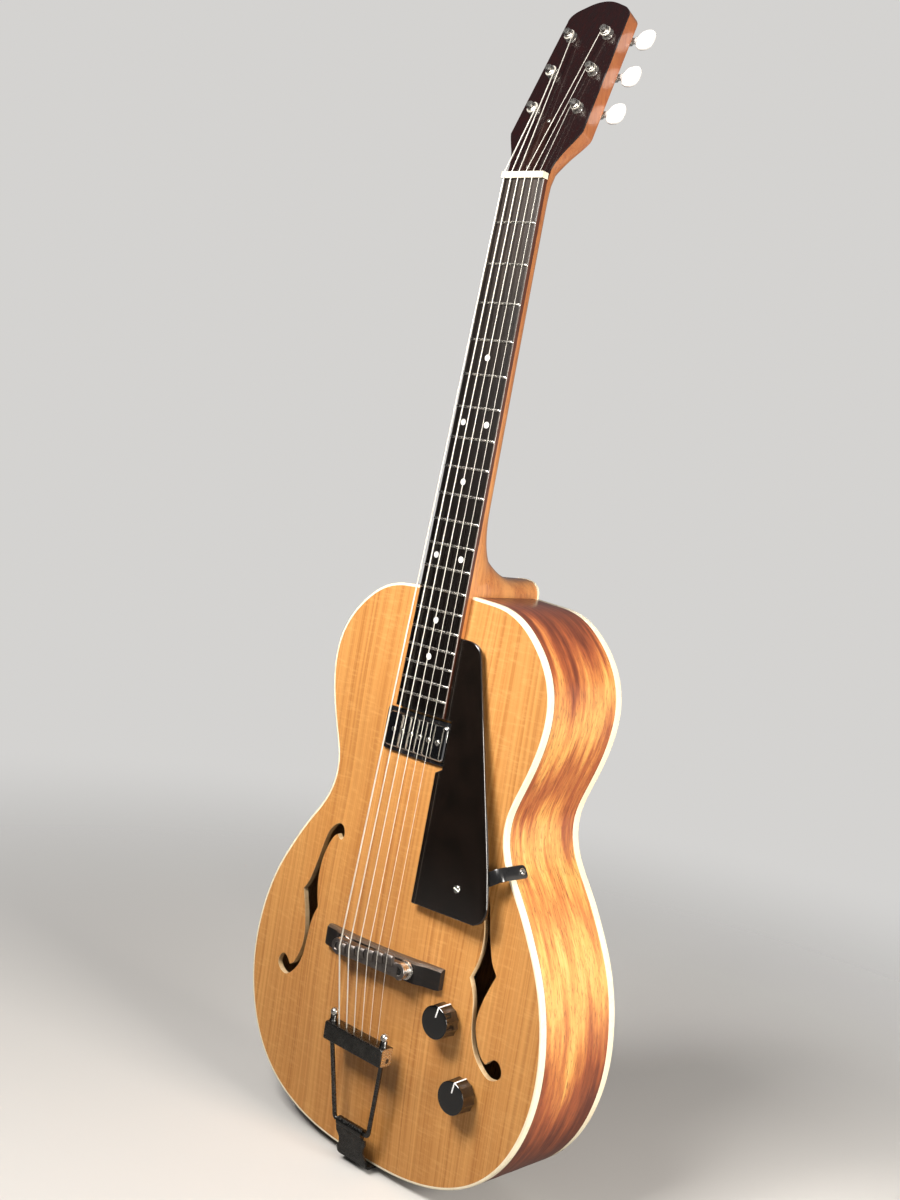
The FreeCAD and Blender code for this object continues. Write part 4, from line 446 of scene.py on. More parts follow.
def cubic(pts, n, closed=False):
    """Cubic spline through the points, chord-length parameter, n samples per unit span list."""
    p = np.array(pts, float)
    if closed:
        p = np.vstack([p, p[0]])
    t = np.concatenate([[0], np.cumsum(np.linalg.norm(np.diff(p, axis=0), axis=1))])
    h = np.diff(t)
    k = len(t)
    A = np.zeros((k, k))
    B = np.zeros((k, p.shape[1]))
    for i in range(1, k - 1):
        A[i, i - 1], A[i, i], A[i, i + 1] = h[i - 1], 2 * (h[i - 1] + h[i]), h[i]
        B[i] = 6 * ((p[i + 1] - p[i]) / h[i] - (p[i] - p[i - 1]) / h[i - 1])
    if closed:
        A[0, 0], A[0, -1] = 1, -1
        A[-1, 0], A[-1, 1], A[-1, -2], A[-1, -1] = 2 * h[0], h[0], h[-1], 2 * h[-1]
        B[-1] = 6 * ((p[1] - p[0]) / h[0] - (p[-1] - p[-2]) / h[-1])
    else:
        A[0, 0] = A[-1, -1] = 1
    m2 = np.linalg.solve(A, B)
    u = np.linspace(0, t[-1], n, endpoint=not closed)
    j = np.clip(np.searchsorted(t, u, side='right') - 1, 0, k - 2)
    a = ((t[j + 1] - u) / h[j])[:, None]
    b = ((u - t[j]) / h[j])[:, None]
    hh = (h[j] ** 2)[:, None]
    return a * p[j] + b * p[j + 1] + ((a ** 3 - a) * m2[j] + (b ** 3 - b) * m2[j + 1]) * hh / 6


HALF = [(0.0, 0.0), (19.3, 0.28), (38.57, 1.31), (57.72, 3.69), (76.53, 7.95), (94.74, 14.33), (111.87, 23.17),
        (127.26, 34.78), (140.26, 49.01), (150.58, 65.3), (158.15, 83.04), (163.13, 101.67), (165.67, 120.79),
        (165.82, 140.08), (163.83, 159.27), (160.02, 178.19), (154.3, 196.61), (146.57, 214.29), (137.34, 231.24),
        (127.35, 247.75), (116.28, 263.55), (105.41, 279.49), (98.14, 297.31), (97.15, 316.48), (102.35, 335.03),
        (109.08, 353.12), (114.74, 371.57), (118.3, 390.52), (118.49, 409.79), (113.91, 428.48), (104.48, 445.27),
        (91.5, 459.52), (75.9, 470.81), (57.77, 477.2), (38.56, 478.93), (19.29, 480.09), (0.0, 480.61)]
FULL = HALF + [(-x, z) for x, z in HALF[-2:0:-1]]
N_OUT = 520
OUT = cubic(FULL, N_OUT, True)
d_ = np.roll(OUT, -1, 0) - np.roll(OUT, 1, 0)
d_ /= np.linalg.norm(d_, axis=1)[:, None]
NRM = np.stack([-d_[:, 1], d_[:, 0]], 1)          # towards the inside
if (NRM[N_OUT // 4] * (np.array([0, 150]) - OUT[N_OUT // 4])).sum() < 0:
    NRM = -NRM
ARC = np.concatenate([[0], np.cumsum(np.linalg.norm(np.diff(np.vstack([OUT, OUT[0]]), axis=0), axis=1))])


def offs(o):
    return OUT + NRM * o


HX = np.array([h[0] for h in HALF])
HZ = np.array([h[1] for h in HALF])


def soft_width(z):
    tot = 0.0
    for k in range(-4, 5):
        tot += np.maximum(62.0, np.interp(np.clip(z + k * 5.0, 0, BODY_LEN), HZ, HX) - 2.2)
    return tot / 9.0


def arch(x, z, high):
    zz = np.clip(z / BODY_LEN, 0, 1)
    t = np.minimum(np.abs(x) / soft_width(z), 1.0)
    return high * np.sin(math.pi * zz) ** 1.1 * (1 + np.cos(math.pi * t)) / 2


F_PARTS = [
    [(80.0, 255.5), (77.2, 252.8), (74.0, 252.2), (71.2, 254.6), (70.6, 258.0), (71.9, 261.6), (75.0, 264.3),
     (80.0, 264.8), (85.4, 262.1), (90.5, 257.0), (94.0, 250.4), (96.5, 241.3), (98.4, 232.6), (100.5, 224.4),
     (103.4, 214.8), (107.4, 204.6), (112.5, 197.5)],
    [(112.5, 197.5), (108.6, 187.6), (105.2, 177.6), (102.6, 168.4), (101.4, 160.0), (101.6, 153.0), (102.8, 147.4),
     (105.2, 140.8), (108.4, 134.6), (111.8, 130.0), (115.5, 127.5)],
    [(115.5, 127.5), (119.0, 131.2), (122.6, 133.7), (126.0, 133.9), (129.2, 131.4), (131.3, 127.6), (131.5, 123.8),
     (129.4, 120.4), (125.4, 117.8), (120.4, 117.0), (114.4, 119.8), (108.3, 125.4), (103.1, 132.8), (99.7, 141.6),
     (97.9, 150.5), (96.7, 160.4), (95.4, 170.8), (92.8, 180.0), (88.8, 188.5)],
    [(88.8, 188.5), (92.6, 199.4), (94.5, 208.0), (95.0, 216.0), (94.7, 223.4), (93.5, 231.2), (91.2, 238.9),
     (87.9, 246.4), (84.0, 252.2), (80.0, 255.5)],
]


def f_loop(side):
    pts = []
    for part, n in zip(F_PARTS, (60, 34, 60, 34)):
        pts.extend(cubic(part, n)[:-1].tolist())
    return np.array([(side * x, z) for x, z in pts])


def inside(poly, q):
    """Point-in-polygon for arrays."""
    x, y = q[:, 0], q[:, 1]
    r = np.zeros(len(q), bool)
    x0, y0 = poly[:, 0], poly[:, 1]
    x1, y1 = np.roll(x0, -1), np.roll(y0, -1)
    for a, b, c, d in zip(x0, y0, x1, y1):
        if b == d:
            continue
        hit = (b > y) != (d > y)
        xi = (c - a) * (y - b) / (d - b) + a
        r ^= hit & (x < xi)
    return r


def plate(name, mats, high, y_edge, sign, holes, replaces, step=5.0, thick=5.0):
    """Carved plate: arched skin, flat-walled openings and a flush edge."""
    edge = offs(2.2)
    loops = [edge] + holes
    gx, gz = np.meshgrid(np.arange(-165, 166, step), np.arange(2, 480, step))
    grid = np.stack([gx.ravel(), gz.ravel()], 1)
    grid[:, 0] += (np.round(grid[:, 1] / step).astype(int) % 2) * step * 0.5
    keep = inside(offs(4.6), grid)
    allp = np.vstack(loops)
    for h in holes:
        keep &= ~inside(h, grid)
    near = np.array([np.min(np.hypot(*(allp - g).T)) if k else 0 for g, k in zip(grid, keep)])
    grid = grid[keep & (near > 1.7)]
    verts = np.vstack(loops + [grid])
    edges, k = [], 0
    for lp in loops:
        edges += [(k + i, k + (i + 1) % len(lp)) for i in range(len(lp))]
        k += len(lp)
    vo, eo, fo, _, _, _ = delaunay_2d_cdt([Vector(v) for v in verts], edges, [], 0, 1e-6)
    vo = np.array([tuple(v) for v in vo])
    fo = [f for f in fo if len(f) == 3]
    cen = np.array([vo[list(f)].mean(0) for f in fo])
    ok = inside(edge, cen)
    for h in holes:
        ok &= ~inside(h, cen)
    tri = [f for f, q in zip(fo, ok) if q]
    top_y = y_edge + sign * arch(vo[:, 0], vo[:, 1], high)
    low_y = top_y - sign * thick
    bm = bmesh.new()
    tv = [bm.verts.new((x, y, z)) for (x, z), y in zip(vo, top_y)]
    lv = [bm.verts.new((x, y, z)) for (x, z), y in zip(vo, low_y)]
    bm.verts.ensure_lookup_table()
    count = {}
    for f in tri:
        for a, b in ((f[0], f[1]), (f[1], f[2]), (f[2], f[0])):
            count[(a, b)] = count.get((a, b), 0) + 1
    for f in tri:
        a, b, c = f
        p, q, r = vo[a], vo[b], vo[c]
        ccw = (q[0] - p[0]) * (r[1] - p[1]) - (q[1] - p[1]) * (r[0] - p[0]) > 0
        front = (a, b, c) if ccw == (sign < 0) else (c, b, a)
        bm.faces.new([tv[i] for i in front]).material_index = 0
        bm.faces.new([lv[i] for i in reversed(front)]).material_index = 1
    for (a, b) in list(count):
        if (b, a) not in count:
            f = bm.faces.new([tv[a], tv[b], lv[b], lv[a]])
            f.material_index = 1
    loose = [v for v in bm.verts if not v.link_faces]
    bmesh.ops.delete(bm, geom=loose, context='VERTS')
    bmesh.ops.recalc_face_normals(bm, faces=bm.faces)
    return piece(name, bm, mats, replaces=replaces)


PUZ = BOARD @ Vector((0, 14, -451.5))
hole_p = []
for cx, cz in ((-33.6, -14.9), (33.6, -14.9), (33.6, 14.9), (-33.6, 14.9)):
    hole_p.append((cx, PUZ.z + cz))
PICK_HOLE = np.array(hole_p)
POT = [(75.0, 149.7), (99.7, 97.0)]


def circ(cx, cz, r, n=24):
    return np.array([(cx + r * math.cos(2 * math.pi * i / n), cz + r * math.sin(2 * math.pi * i / n)) for i in range(n)])


plate("soundboard_plate", ["spruce", "spruce_edge"], 14.0, YF, -1,
      [f_loop(1), f_loop(-1), PICK_HOLE, circ(*POT[0], 3.75), circ(*POT[1], 3.75)], ("soundboard",))
plate("back_plate_arched", ["back", "inner"], 11.0, YB, 1, [], ("back_plate",), step=7.0)


def sweep(name, profile, mats, replaces, uv=False, mat_of=None):
    """Closed cross-section of (inward offset, y) carried round the body outline."""
    bm = bmesh.new()
    layer = bm.loops.layers.uv.new("grain") if uv else None
    rings = []
    for i in range(N_OUT):
        rings.append([bm.verts.new((OUT[i, 0] + NRM[i, 0] * o, y, OUT[i, 1] + NRM[i, 1] * o)) for o, y in profile])
    m = len(profile)
    for i in range(N_OUT):
        j = (i + 1) % N_OUT
        for k in range(m):
            k2 = (k + 1) % m
            f = bm.faces.new([rings[i][k], rings[j][k], rings[j][k2], rings[i][k2]])
            if mat_of:
                f.material_index = mat_of[k]
            if uv:
                for lp, (a, y) in zip(f.loops, ((ARC[i], profile[k][1]), (ARC[i + 1], profile[k][1]), (ARC[i + 1], profile[k2][1]),
                                                (ARC[i], profile[k2][1]))):
                    lp[layer].uv = (a * MM, y * MM)
    bmesh.ops.recalc_face_normals(bm, faces=bm.faces)
    return piece(name, bm, mats, replaces=replaces)


rib_y = [YF + 6.0 + (YB - YF - 14.2) * i / 8 for i in range(9)]
sweep("side_ribs", [(0.0, y) for y in rib_y] + [(2.2, y) for y in reversed(rib_y)], ["ribs", "inner"], ("ribs",), True,
      [0] * 8 + [1] * 10)
bind_prof = [(2.2, 0.0), (1.2, 0.0), (0.62, 0.10), (0.26, 0.30), (0.06, 0.66), (0.0, 1.1), (0.0, 6.0), (2.2, 6.0)]
sweep("front_binding", [(o, YF + y) for o, y in bind_prof], ["cream"], ("top_binding",))
sweep("rear_binding", [(o, YB - (8.2 if y == 6.0 else y)) for o, y in bind_prof], ["cream"], ("back_binding",))

# ------------------------------------------------------------------ small mesh builders
def add_loft(bm, rings, cap0=True, cap1=True, mat=0, closed=True):
    """Skin over successive rings of points."""
    vs = [[bm.verts.new(p) for p in r] for r in rings]
    n = len(vs[0])
    for a, b in zip(vs, vs[1:]):
        for i in range(n if closed else n - 1):
            j = (i + 1) % n
            bm.faces.new([a[i], a[j], b[j], b[i]]).material_index = mat
    if cap0:
        bm.faces.new(list(reversed(vs[0]))).material_index = mat
    if cap1:
        bm.faces.new(vs[-1]).material_index = mat
    return vs


def add_lathe(bm, prof, xf=None, n=48, mat=0):
    """Profile of (radius, height) turned about local Z."""
    xf = xf or Matrix.Identity(4)
    rings = []
    for r, hgt in prof:
        rr = max(r, 0.004)
        rings.append([xf @ Vector((rr * math.cos(2 * math.pi * i / n), rr * math.sin(2 * math.pi * i / n), hgt)) for i in range(n)])
    return add_loft(bm, rings, True, True, mat)


def add_tube(bm, path, radius, n=12, mat=0, cap=True):
    """Round wire along a list of points; radius may be a list."""
    pts = [Vector(p) for p in path]
    k = len(pts)
    tan = []
    for i in range(k):
        a, b = pts[max(i - 1, 0)], pts[min(i + 1, k - 1)]
        tan.append((b - a).normalized())
    ref = Vector((1, 0, 0)) if abs(tan[0].x) < 0.9 else Vector((0, 1, 0))
    nx = (ref - tan[0] * ref.dot(tan[0])).normalized()
    rings = []
    for i in range(k):
        nx = (nx - tan[i] * nx.dot(tan[i])).normalized()
        ny = tan[i].cross(nx)
        r = radius[i] if isinstance(radius, (list, tuple)) else radius
        rings.append([pts[i] + nx * (r * math.cos(2 * math.pi * j / n)) + ny * (r * math.sin(2 * math.pi * j / n)) for j in range(n)])
    add_loft(bm, rings, cap, cap, mat)


def rrect(w, h, r, n=6):
    """Rounded rectangle, counter-clockwise."""
    pts = []
    for cx, cy, a0 in ((w / 2 - r, h / 2 - r, 0), (-w / 2 + r, h / 2 - r, 90), (-w / 2 + r, -h / 2 + r, 180), (w / 2 - r, -h / 2 + r, 270)):
        for i in range(n + 1):
            a = math.radians(a0 + 90.0 * i / n)
            pts.append((cx + r * math.cos(a), cy + r * math.sin(a)))
    return pts


def inset(poly, d):
    """Polygon moved inwards by d along the corner bisectors."""
    p = np.array(poly, float)
    area2 = np.sum(p[:, 0] * np.roll(p[:, 1], -1) - np.roll(p[:, 0], -1) * p[:, 1])
    e1 = p - np.roll(p, 1, 0)
    e2 = np.roll(p, -1, 0) - p
    e1 /= np.linalg.norm(e1, axis=1)[:, None] + 1e-12
    e2 /= np.linalg.norm(e2, axis=1)[:, None] + 1e-12
    n1 = np.stack([-e1[:, 1], e1[:, 0]], 1)
    n2 = np.stack([-e2[:, 1], e2[:, 0]], 1)
    b = n1 + n2
    b /= np.maximum((b * b).sum(1) / 2, 0.25)[:, None]
    return p + b * (d if area2 > 0 else -d)


def add_slab(bm, poly, y0, y1, bev=0.4, seg=3, xf=None, mat=0, back_bev=None):
    """Plate of outline poly (x, z) between y0 (front) and y1, with rounded front and back edges."""
    xf = xf or Matrix.Identity(4)
    rings = []
    bb = bev if back_bev is None else back_bev

    def ring(d, y):
        q = inset(poly, d) if d else np.array(poly, float)
        return [xf @ Vector((x, y, z)) for x, z in q]
    for i in range(seg + 1):
        a = math.pi / 2 * i / seg
        rings.append(ring(bev * (1 - math.sin(a)), y0 + bev * (1 - math.cos(a))))
    for i in range(seg + 1):
        a = math.pi / 2 * (1 - i / seg)
        rings.append(ring(bb * (1 - math.sin(a)), y1 - bb * (1 - math.cos(a))))
    add_loft(bm, rings, True, True, mat)


def add_block(bm, x0, x1, y0, y1, z0, z1, bev=0.3, xf=None, mat=0):
    cx, cz = (x0 + x1) / 2, (z0 + z1) / 2
    r = min(bev * 1.2, (x1 - x0) / 2.2, (z1 - z0) / 2.2)
    poly = [(cx + x, cz + z) for x, z in rrect(x1 - x0, z1 - z0, r, 3)]
    add_slab(bm, poly, y0, y1, bev, 2, xf, mat)


def fix(bm):
    bmesh.ops.recalc_face_normals(bm, faces=bm.faces)
    return bm


# ------------------------------------------------------------------ control knobs
def knob(name, cx, cz, y_low, high, body, node, turn):
    """Fluted knob with a flat top disc and a white pointer that runs on down the side."""
    R, n, lobes = 14.1, 240, 12
    bm = bmesh.new()

    def rad(th, dep):
        ph = ((th - turn) % (2 * math.pi / lobes)) / (2 * math.pi / lobes) * 2 - 1
        return R - dep * (1 - ph * ph)

    def ring(dr, y, dep):
        return [Vector((cx + (rad(2 * math.pi * i / n, dep) - dr) * math.sin(2 * math.pi * i / n), y,
                        cz + (rad(2 * math.pi * i / n, dep) - dr) * math.cos(2 * math.pi * i / n))) for i in range(n)]
    y_top = y_low - high
    rings = [ring(4.4, y_low - 4.0, 0.0), ring(4.4, y_low, 0.0), ring(0.5, y_low, 0.8), ring(0.1, y_low - 0.3, 1.0), ring(0.0, y_low - 1.0, 1.0),
             ring(0.35, y_low - high * 0.5, 1.1), ring(0.70, y_top + 1.9, 1.0), ring(0.78, y_top + 1.4, 0.7), ring(0.84, y_top + 1.05, 0.0),
             ring(0.84, y_top + 0.75, 0.0), ring(0.98, y_top + 0.36, 0.0), ring(1.28, y_top + 0.1, 0.0), ring(1.7, y_top, 0.0)]
    add_loft(bm, rings, True, False, 0)
    bm.verts.ensure_lookup_table()
    disc = [v for v in bm.verts][-n:]
    inner = []
    for rr in (8.0, 3.0):
        inner.append([bm.verts.new((cx + rr * math.sin(2 * math.pi * i / n), y_top, cz + rr * math.cos(2 * math.pi * i / n))) for i in range(n)])
    prev = disc
    for ring_v in inner:
        for i in range(n):
            j = (i + 1) % n
            bm.faces.new([prev[i], prev[j], ring_v[j], ring_v[i]])
        prev = ring_v
    bm.faces.new(prev)
    # pointer: a thin raised line on the disc, over the rim and down the flank
    dx, dz = math.sin(turn), math.cos(turn)
    tx, tz = dz, -dx
    path = [(4.6, y_top - 0.06), (8.5, y_top - 0.06), (R - 1.7, y_top - 0.06), (R - 1.22, y_top + 0.06), (R - 0.90, y_top + 0.34), (R - 0.76, y_top + 0.75),
            (R - 0.62, y_top + 1.9), (R - 0.27, y_low - high * 0.5), (R + 0.07, y_low - 1.2), (R + 0.02, y_low - 0.4)]
    wid = 0.66
    rows = []
    for rr, y in path:
        rows.append([bm.verts.new((cx + dx * rr + tx * s * wid, y, cz + dz * rr + tz * s * wid)) for s in (-1, 0, 1)])
    for a, b in zip(rows, rows[1:]):
        for i in range(2):
            bm.faces.new([a[i], a[i + 1], b[i + 1], b[i]]).material_index = 1
    fix(bm)
    return piece(name, bm, ["gloss_black", "white"], body=body, replaces=(node,), sharp=24)


for nm, (cx, cz), turn in (("volume", POT[0], math.radians(11)), ("tone", POT[1], math.radians(9))):
    lo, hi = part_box(nm + "_knob")
    knob(nm + "_knob_fluted", cx, cz, hi[1] / MM - 0.05, (hi[1] - lo[1]) / MM - 0.1, nm + "_control", nm + "_knob", turn)

# ------------------------------------------------------------------ pickup
PY, PW, PL, PD = 2.5, 66.0, 28.6, 11.5
bm = bmesh.new()
rings = []
prof = [(0.0, PY + PD), (0.0, PY + 1.7)] + [(1.7 * (1 - math.cos(math.radians(a))), PY + 1.7 * (1 - math.sin(math.radians(a)))) for a in (15, 30, 45, 60, 75, 90)]
for d, y in prof:
    q = np.array([(x, z - 451.5) for x, z in rrect(PW - 2 * d, PL - 2 * d, max(3.6 - d, 1.2), 8)])
    rings.append([BOARD @ Vector((x, y, z)) for x, z in q])
add_loft(bm, rings, False, True)
piece("pickup_cover_shell", fix(bm), ["chrome"], replaces=("pickup_cover",), sharp=50)

bm = bmesh.new()
POLES = [(-2.5 + i) * 9.76 for i in range(6)]
for x in POLES:
    base = BOARD @ Matrix.Translation((x, PY, -451.5)) @ Matrix.Rotation(math.radians(90), 4, 'X')
    add_lathe(bm, [(2.85, -0.05), (2.85, 0.03), (2.36, 0.03)], base, 32, 1)
    add_lathe(bm, [(2.3, -0.2), (2.3, 0.25), (2.12, 0.52), (1.7, 0.74), (1.1, 0.87), (0.5, 0.92), (0.0, 0.93)], base, 32)
    # painted shade: a black bar across each screw head stands for its slot
    add_block(bm, x - 0.34, x + 0.34, PY - 0.945, PY - 0.3, -451.5 - 2.1, -451.5 + 2.1, 0.05, BOARD, 1)
piece("pickup_pole_screws", fix(bm), ["nickel", "black"], replaces=("pickup_poles",), sharp=40)

# ------------------------------------------------------------------ pickguard: bevelled sheet
GUARD = [(26.4, -366.0), (27.2, -432.0), (34.0, -432.0), (34.0, -470.8), (27.4, -474.6), (28.8, -580.2), (29.9, -581.0), (94.2, -578.4), (95.5, -578.2),
         (101.6, -574.6), (105.6, -567.2), (105.0, -559.0), (98.6, -533.7), (51.6, -377.6), (49.0, -371.6),
         (43.6, -367.6), (37.3, -366.0)]
def dense(poly, step):
    out = []
    for (a, b), (c, d) in zip(poly, poly[1:] + poly[:1]):
        k = max(1, int(math.hypot(c - a, d - b) / step))
        out += [(a + (c - a) * i / k, b + (d - b) * i / k) for i in range(k)]
    return out


def smooth_corner(poly, i0, i1, n):
    """Replaces points i0..i1 by a spline through them."""
    seg = cubic(poly[i0:i1 + 1], n)
    return poly[:i0] + [tuple(q) for q in seg] + poly[i1 + 1:]


g = smooth_corner(GUARD, 13, 16, 18)
g = smooth_corner(g, 8, 11, 18)
bm = bmesh.new()
add_slab(bm, g, 3.0, 6.0, 1.15, 6, BOARD, 0, 0.4)
piece("pickguard_sheet", fix(bm), ["guard"], replaces=("pickguard",), sharp=35)

# bracket: strip bent from under the guard over the edge and down the side
S_P, S_N = Vector((107.0, 0, 277.2)), Vector((0.826, 0, 0.564)).normalized()
S_T = Vector((-S_N.z, 0, S_N.x))
strip = [(-44.0, -63.0), (-30.0, -62.55), (-16.0, -62.1), (-9.0, -61.85), (-6.5, -61.4)]
for k in range(1, 15):
    t = k / 14
    strip.append(((1 - t) ** 2 * -5.0 + 2 * t * (1 - t) * 1.75 + t * t * 1.75, (1 - t) ** 2 * -61.05 + 2 * t * (1 - t) * -60.1 + t * t * -54.5))
strip += [(1.75, -48.0), (1.75, -40.0), (1.75, -33.0), (1.75, -30.6), (1.75, -29.3), (1.75, -28.5), (1.75, -28.05)]
rings = []
for k, (a, y) in enumerate(strip):
    (a0, y0), (a1, y1) = strip[max(k - 1, 0)], strip[min(k + 1, len(strip) - 1)]
    L = math.hypot(a1 - a0, y1 - y0)
    na, ny = (y1 - y0) / L, -(a1 - a0) / L
    w = {1: 2.9, 2: 4.0, 3: 4.9}.get(len(strip) - k, 5.4)
    rings.append([S_P + S_N * (a - na * d) + S_T * t + Vector((0, y - ny * d, 0)) for t, d in (
        (-w, 0.4), (-w + 0.12, 0.12), (-w + 0.4, 0.0), (w - 0.4, 0.0), (w - 0.12, 0.12), (w, 0.4), (w, 1.25), (w - 0.2, 1.45), (-w + 0.2, 1.45), (-w, 1.25))])
bm = bmesh.new()
add_loft(bm, rings)
piece("pickguard_bent_bracket", fix(bm), ["bracket_black"], replaces=("pickguard_bracket",), sharp=40)

# ------------------------------------------------------------------ frets: crowned wire with dressed ends
def board_half(s):
    return (43.0 + 10.0 * s / 431.5) / 2


def crown_y(x):
    return 305.0 - math.sqrt(305.0 ** 2 - x * x)


bm = bmesh.new()
for k in range(1, 20):
    s = SCALE_LEN * (1 - 2 ** (-k / 12.0))
    w = board_half(s) - 0.25
    rings = []
    xs = [-w, -w + 0.35, -w + 0.8] + [(-w + 1.2) + (2 * w - 2.4) * i / 14 for i in range(15)] + [w - 0.8, w - 0.35, w]
    for i, x in enumerate(xs):
        e = min(i, len(xs) - 1 - i)
        hgt = (0.18, 0.72, 1.02)[e] if e < 3 else 1.12
        hw = (0.75, 0.98, 1.08)[e] if e < 3 else 1.12
        ring = [Vector((x, crown_y(x) + 0.25, -s - hw)), Vector((x, crown_y(x), -s - hw))]
        for j in range(1, 8):
            a = math.pi * j / 8
            ring.append(Vector((x, crown_y(x) - hgt * math.sin(a) ** 0.8, -s - hw * math.cos(a))))
        ring += [Vector((x, crown_y(x), -s + hw)), Vector((x, crown_y(x) + 0.25, -s + hw))]
        rings.append([BOARD @ v for v in ring])
    add_loft(bm, rings)
piece("fret_wires", fix(bm), ["fret"], replaces=("frets",), sharp=50)

# ------------------------------------------------------------------ bridge
BRZ, SLANT = 176.0, math.tan(math.radians(2.4))


def top_edge(x):
    a = abs(x)
    if a <= 43:
        return -66.3
    t = min((a - 43) / 10.0, 1.0)
    s = t * t * (3 - 2 * t)
    return -66.3 + 3.7 * s + (2.2 * max(a - 53, 0) / 13.0)


bm = bmesh.new()
rings = []
for i in range(67):
    x = -65.9 + 131.8 * i / 66
    zc = BRZ + SLANT * x
    e = min(i, 66 - i)
    sh = (0.5, 0.15)[e] if e < 2 else 0.0
    yt = top_edge(x) + sh
    hz = 8.9 - sh
    ring = []
    for z, y in ((zc - hz, None), (zc - hz, yt + 0.45), (zc - hz + 0.12, yt + 0.14), (zc - hz + 0.4, yt), (zc + hz - 2.2, yt), (zc + hz - 2.0, yt + 0.06),
                 (zc + hz - 0.2, yt + 1.9), (zc + hz, yt + 2.2), (zc + hz, None)):
        yy = y if y is not None else YF - float(arch(x, z, 14.0)) - 0.02
        ring.append(Vector((x, yy, z)))
    for t in (0.75, 0.5, 0.25):
        z = zc - hz + 2 * hz * t
        ring.append(Vector((x, YF - float(arch(x, z, 14.0)) - 0.02, z)))
    rings.append(ring)
add_loft(bm, rings)
fix(bm)
bm.normal_update()
# painted light: faces turned upwards, towards the lamps, take a lighter brown than the rest of the bridge
for f in bm.faces:
    if f.normal.z > 0.35:
        f.material_index = 1
piece("bridge_foot", bm, ["ebony", "bridge_lit_top"], replaces=("bridge_base",), sharp=24)

STUD = [(-35.5, BRZ - 35.5 * SLANT + 0.6), (35.5, BRZ + 35.5 * SLANT + 0.6)]
STR_D = [1.32, 1.07, 0.81, 0.61, 0.43, 0.33]
BRG_X = [-28.2 + 10.5 * i for i in range(6)]
bm = bmesh.new()
BY0, BY1 = -77.5, -69.7
rings = []
for i in range(41):
    x = -34.6 + 69.2 * i / 40
    zc = BRZ + SLANT * x + 0.6
    prof_b = [(-5.9, BY1), (-6.35, BY1 - 0.4), (-6.4, BY0 + 2.8), (-6.1, BY0 + 1.9), (-4.9, BY0 + 0.95), (-3.2, BY0 + 0.6), (-1.5, BY0 + 0.5), (1.5, BY0 + 0.5),
              (3.2, BY0 + 0.6), (4.9, BY0 + 0.95), (6.1, BY0 + 1.9), (6.4, BY0 + 2.8), (6.35, BY1 - 0.4), (5.9, BY1)]
    rings.append([Vector((x, y, zc + z)) for z, y in prof_b])
add_loft(bm, rings)
for x, z in STUD:
    ear = Matrix.Translation((x, 0, z)) @ Matrix.Rotation(math.radians(90), 4, 'X')
    add_lathe(bm, [(6.0, -BY1), (6.45, -BY1 + 0.5), (6.45, -BY0 - 1.5)], ear, 56, 2)
    add_lathe(bm, [(6.45, -BY0 - 1.52), (6.2, -BY0 - 1.0), (5.7, -BY0 - 0.78), (3.75, -BY0 - 0.76), (3.6, -BY0 - 0.9), (3.55, -BY0 - 2.4)], ear, 56, 0)
    # set-screw boss towards the tail; its socket is a black plug, painted shade in place of a hole
    boss = Matrix.Translation((x, (BY0 + BY1) / 2 - 0.2, z)) @ Matrix.Rotation(math.radians(180), 4, 'X')
    add_lathe(bm, [(2.7, 5.0), (2.7, 6.5), (2.3, 7.0), (1.35, 7.05)], boss, 24)
    add_lathe(bm, [(1.4, 5.0), (1.4, 7.08)], boss, 20, 1)
for i in range(6):
    s_ = SCALE_LEN + 2.9 - 0.155 * BRG_X[i]
    p = BOARD @ Vector((BRG_X[i], -(6.6 + STR_D[i] / 2), -s_))
    yt = p.y + STR_D[i] / 2 + 0.03
    # each saddle is a stepped block: flat land towards the tail, low step towards the neck
    ring0 = [(-4.7, BY0 + 2.0), (-4.6, yt + 1.3), (-4.3, yt + 0.95), (-1.2, yt + 0.14), (-0.7, yt + 0.03), (0.0, yt), (0.7, yt + 0.03), (1.2, yt + 0.14),
             (3.0, yt + 0.9), (3.4, yt + 1.4), (3.5, BY0 + 2.0)]
    rings = []
    for x, sh in ((-4.75, 0.35), (-4.5, 0.1), (-4.2, 0.0), (4.2, 0.0), (4.5, 0.1), (4.75, 0.35)):
        rings.append([Vector((p.x + x, y + (sh if y < BY0 + 1.9 else 0), p.z + z * (1 - sh * 0.06))) for z, y in ring0])
    add_loft(bm, rings)
piece("bridge_saddle_bar", fix(bm), ["saddle", "black", "nickel"], replaces=("bridge_bar",), sharp=30)

bm = bmesh.new()
for x, z in STUD:
    base = Matrix.Translation((x, 0, z)) @ Matrix.Rotation(math.radians(90), 4, 'X')
    add_lathe(bm, [(3.4, 59.2), (3.4, 67.2)], base, 32)
    n = 72
    rings = []
    for hgt, dr in ((67.2, 0.5), (67.5, 0.0), (68.9, 0.0), (69.2, 0.5)):
        rings.append([base @ Vector(((7.75 - dr - (0.22 if (i % 2 and dr == 0) else 0)) * math.cos(2 * math.pi * i / n),
                                     (7.75 - dr - (0.22 if (i % 2 and dr == 0) else 0)) * math.sin(2 * math.pi * i / n), hgt)) for i in range(n)])
    add_loft(bm, rings)
    add_lathe(bm, [(3.4, 69.2), (3.4, 75.6), (3.1, 76.0), (1.9, 76.1)], base, 32)
    add_lathe(bm, [(3.3, 75.4), (3.0, 76.14), (0.0, 76.2)], base, 32, 1)
    # painted shade: a black bar on the stud's top stands for its slot
    add_block(bm, x - 2.6, x + 2.6, -76.26, -76.0, z - 0.4, z + 0.4, 0.05, None, 2)
piece("bridge_thumbwheels", fix(bm), ["nickel", "dark_nickel", "black"], replaces=("bridge_studs",), sharp=40)

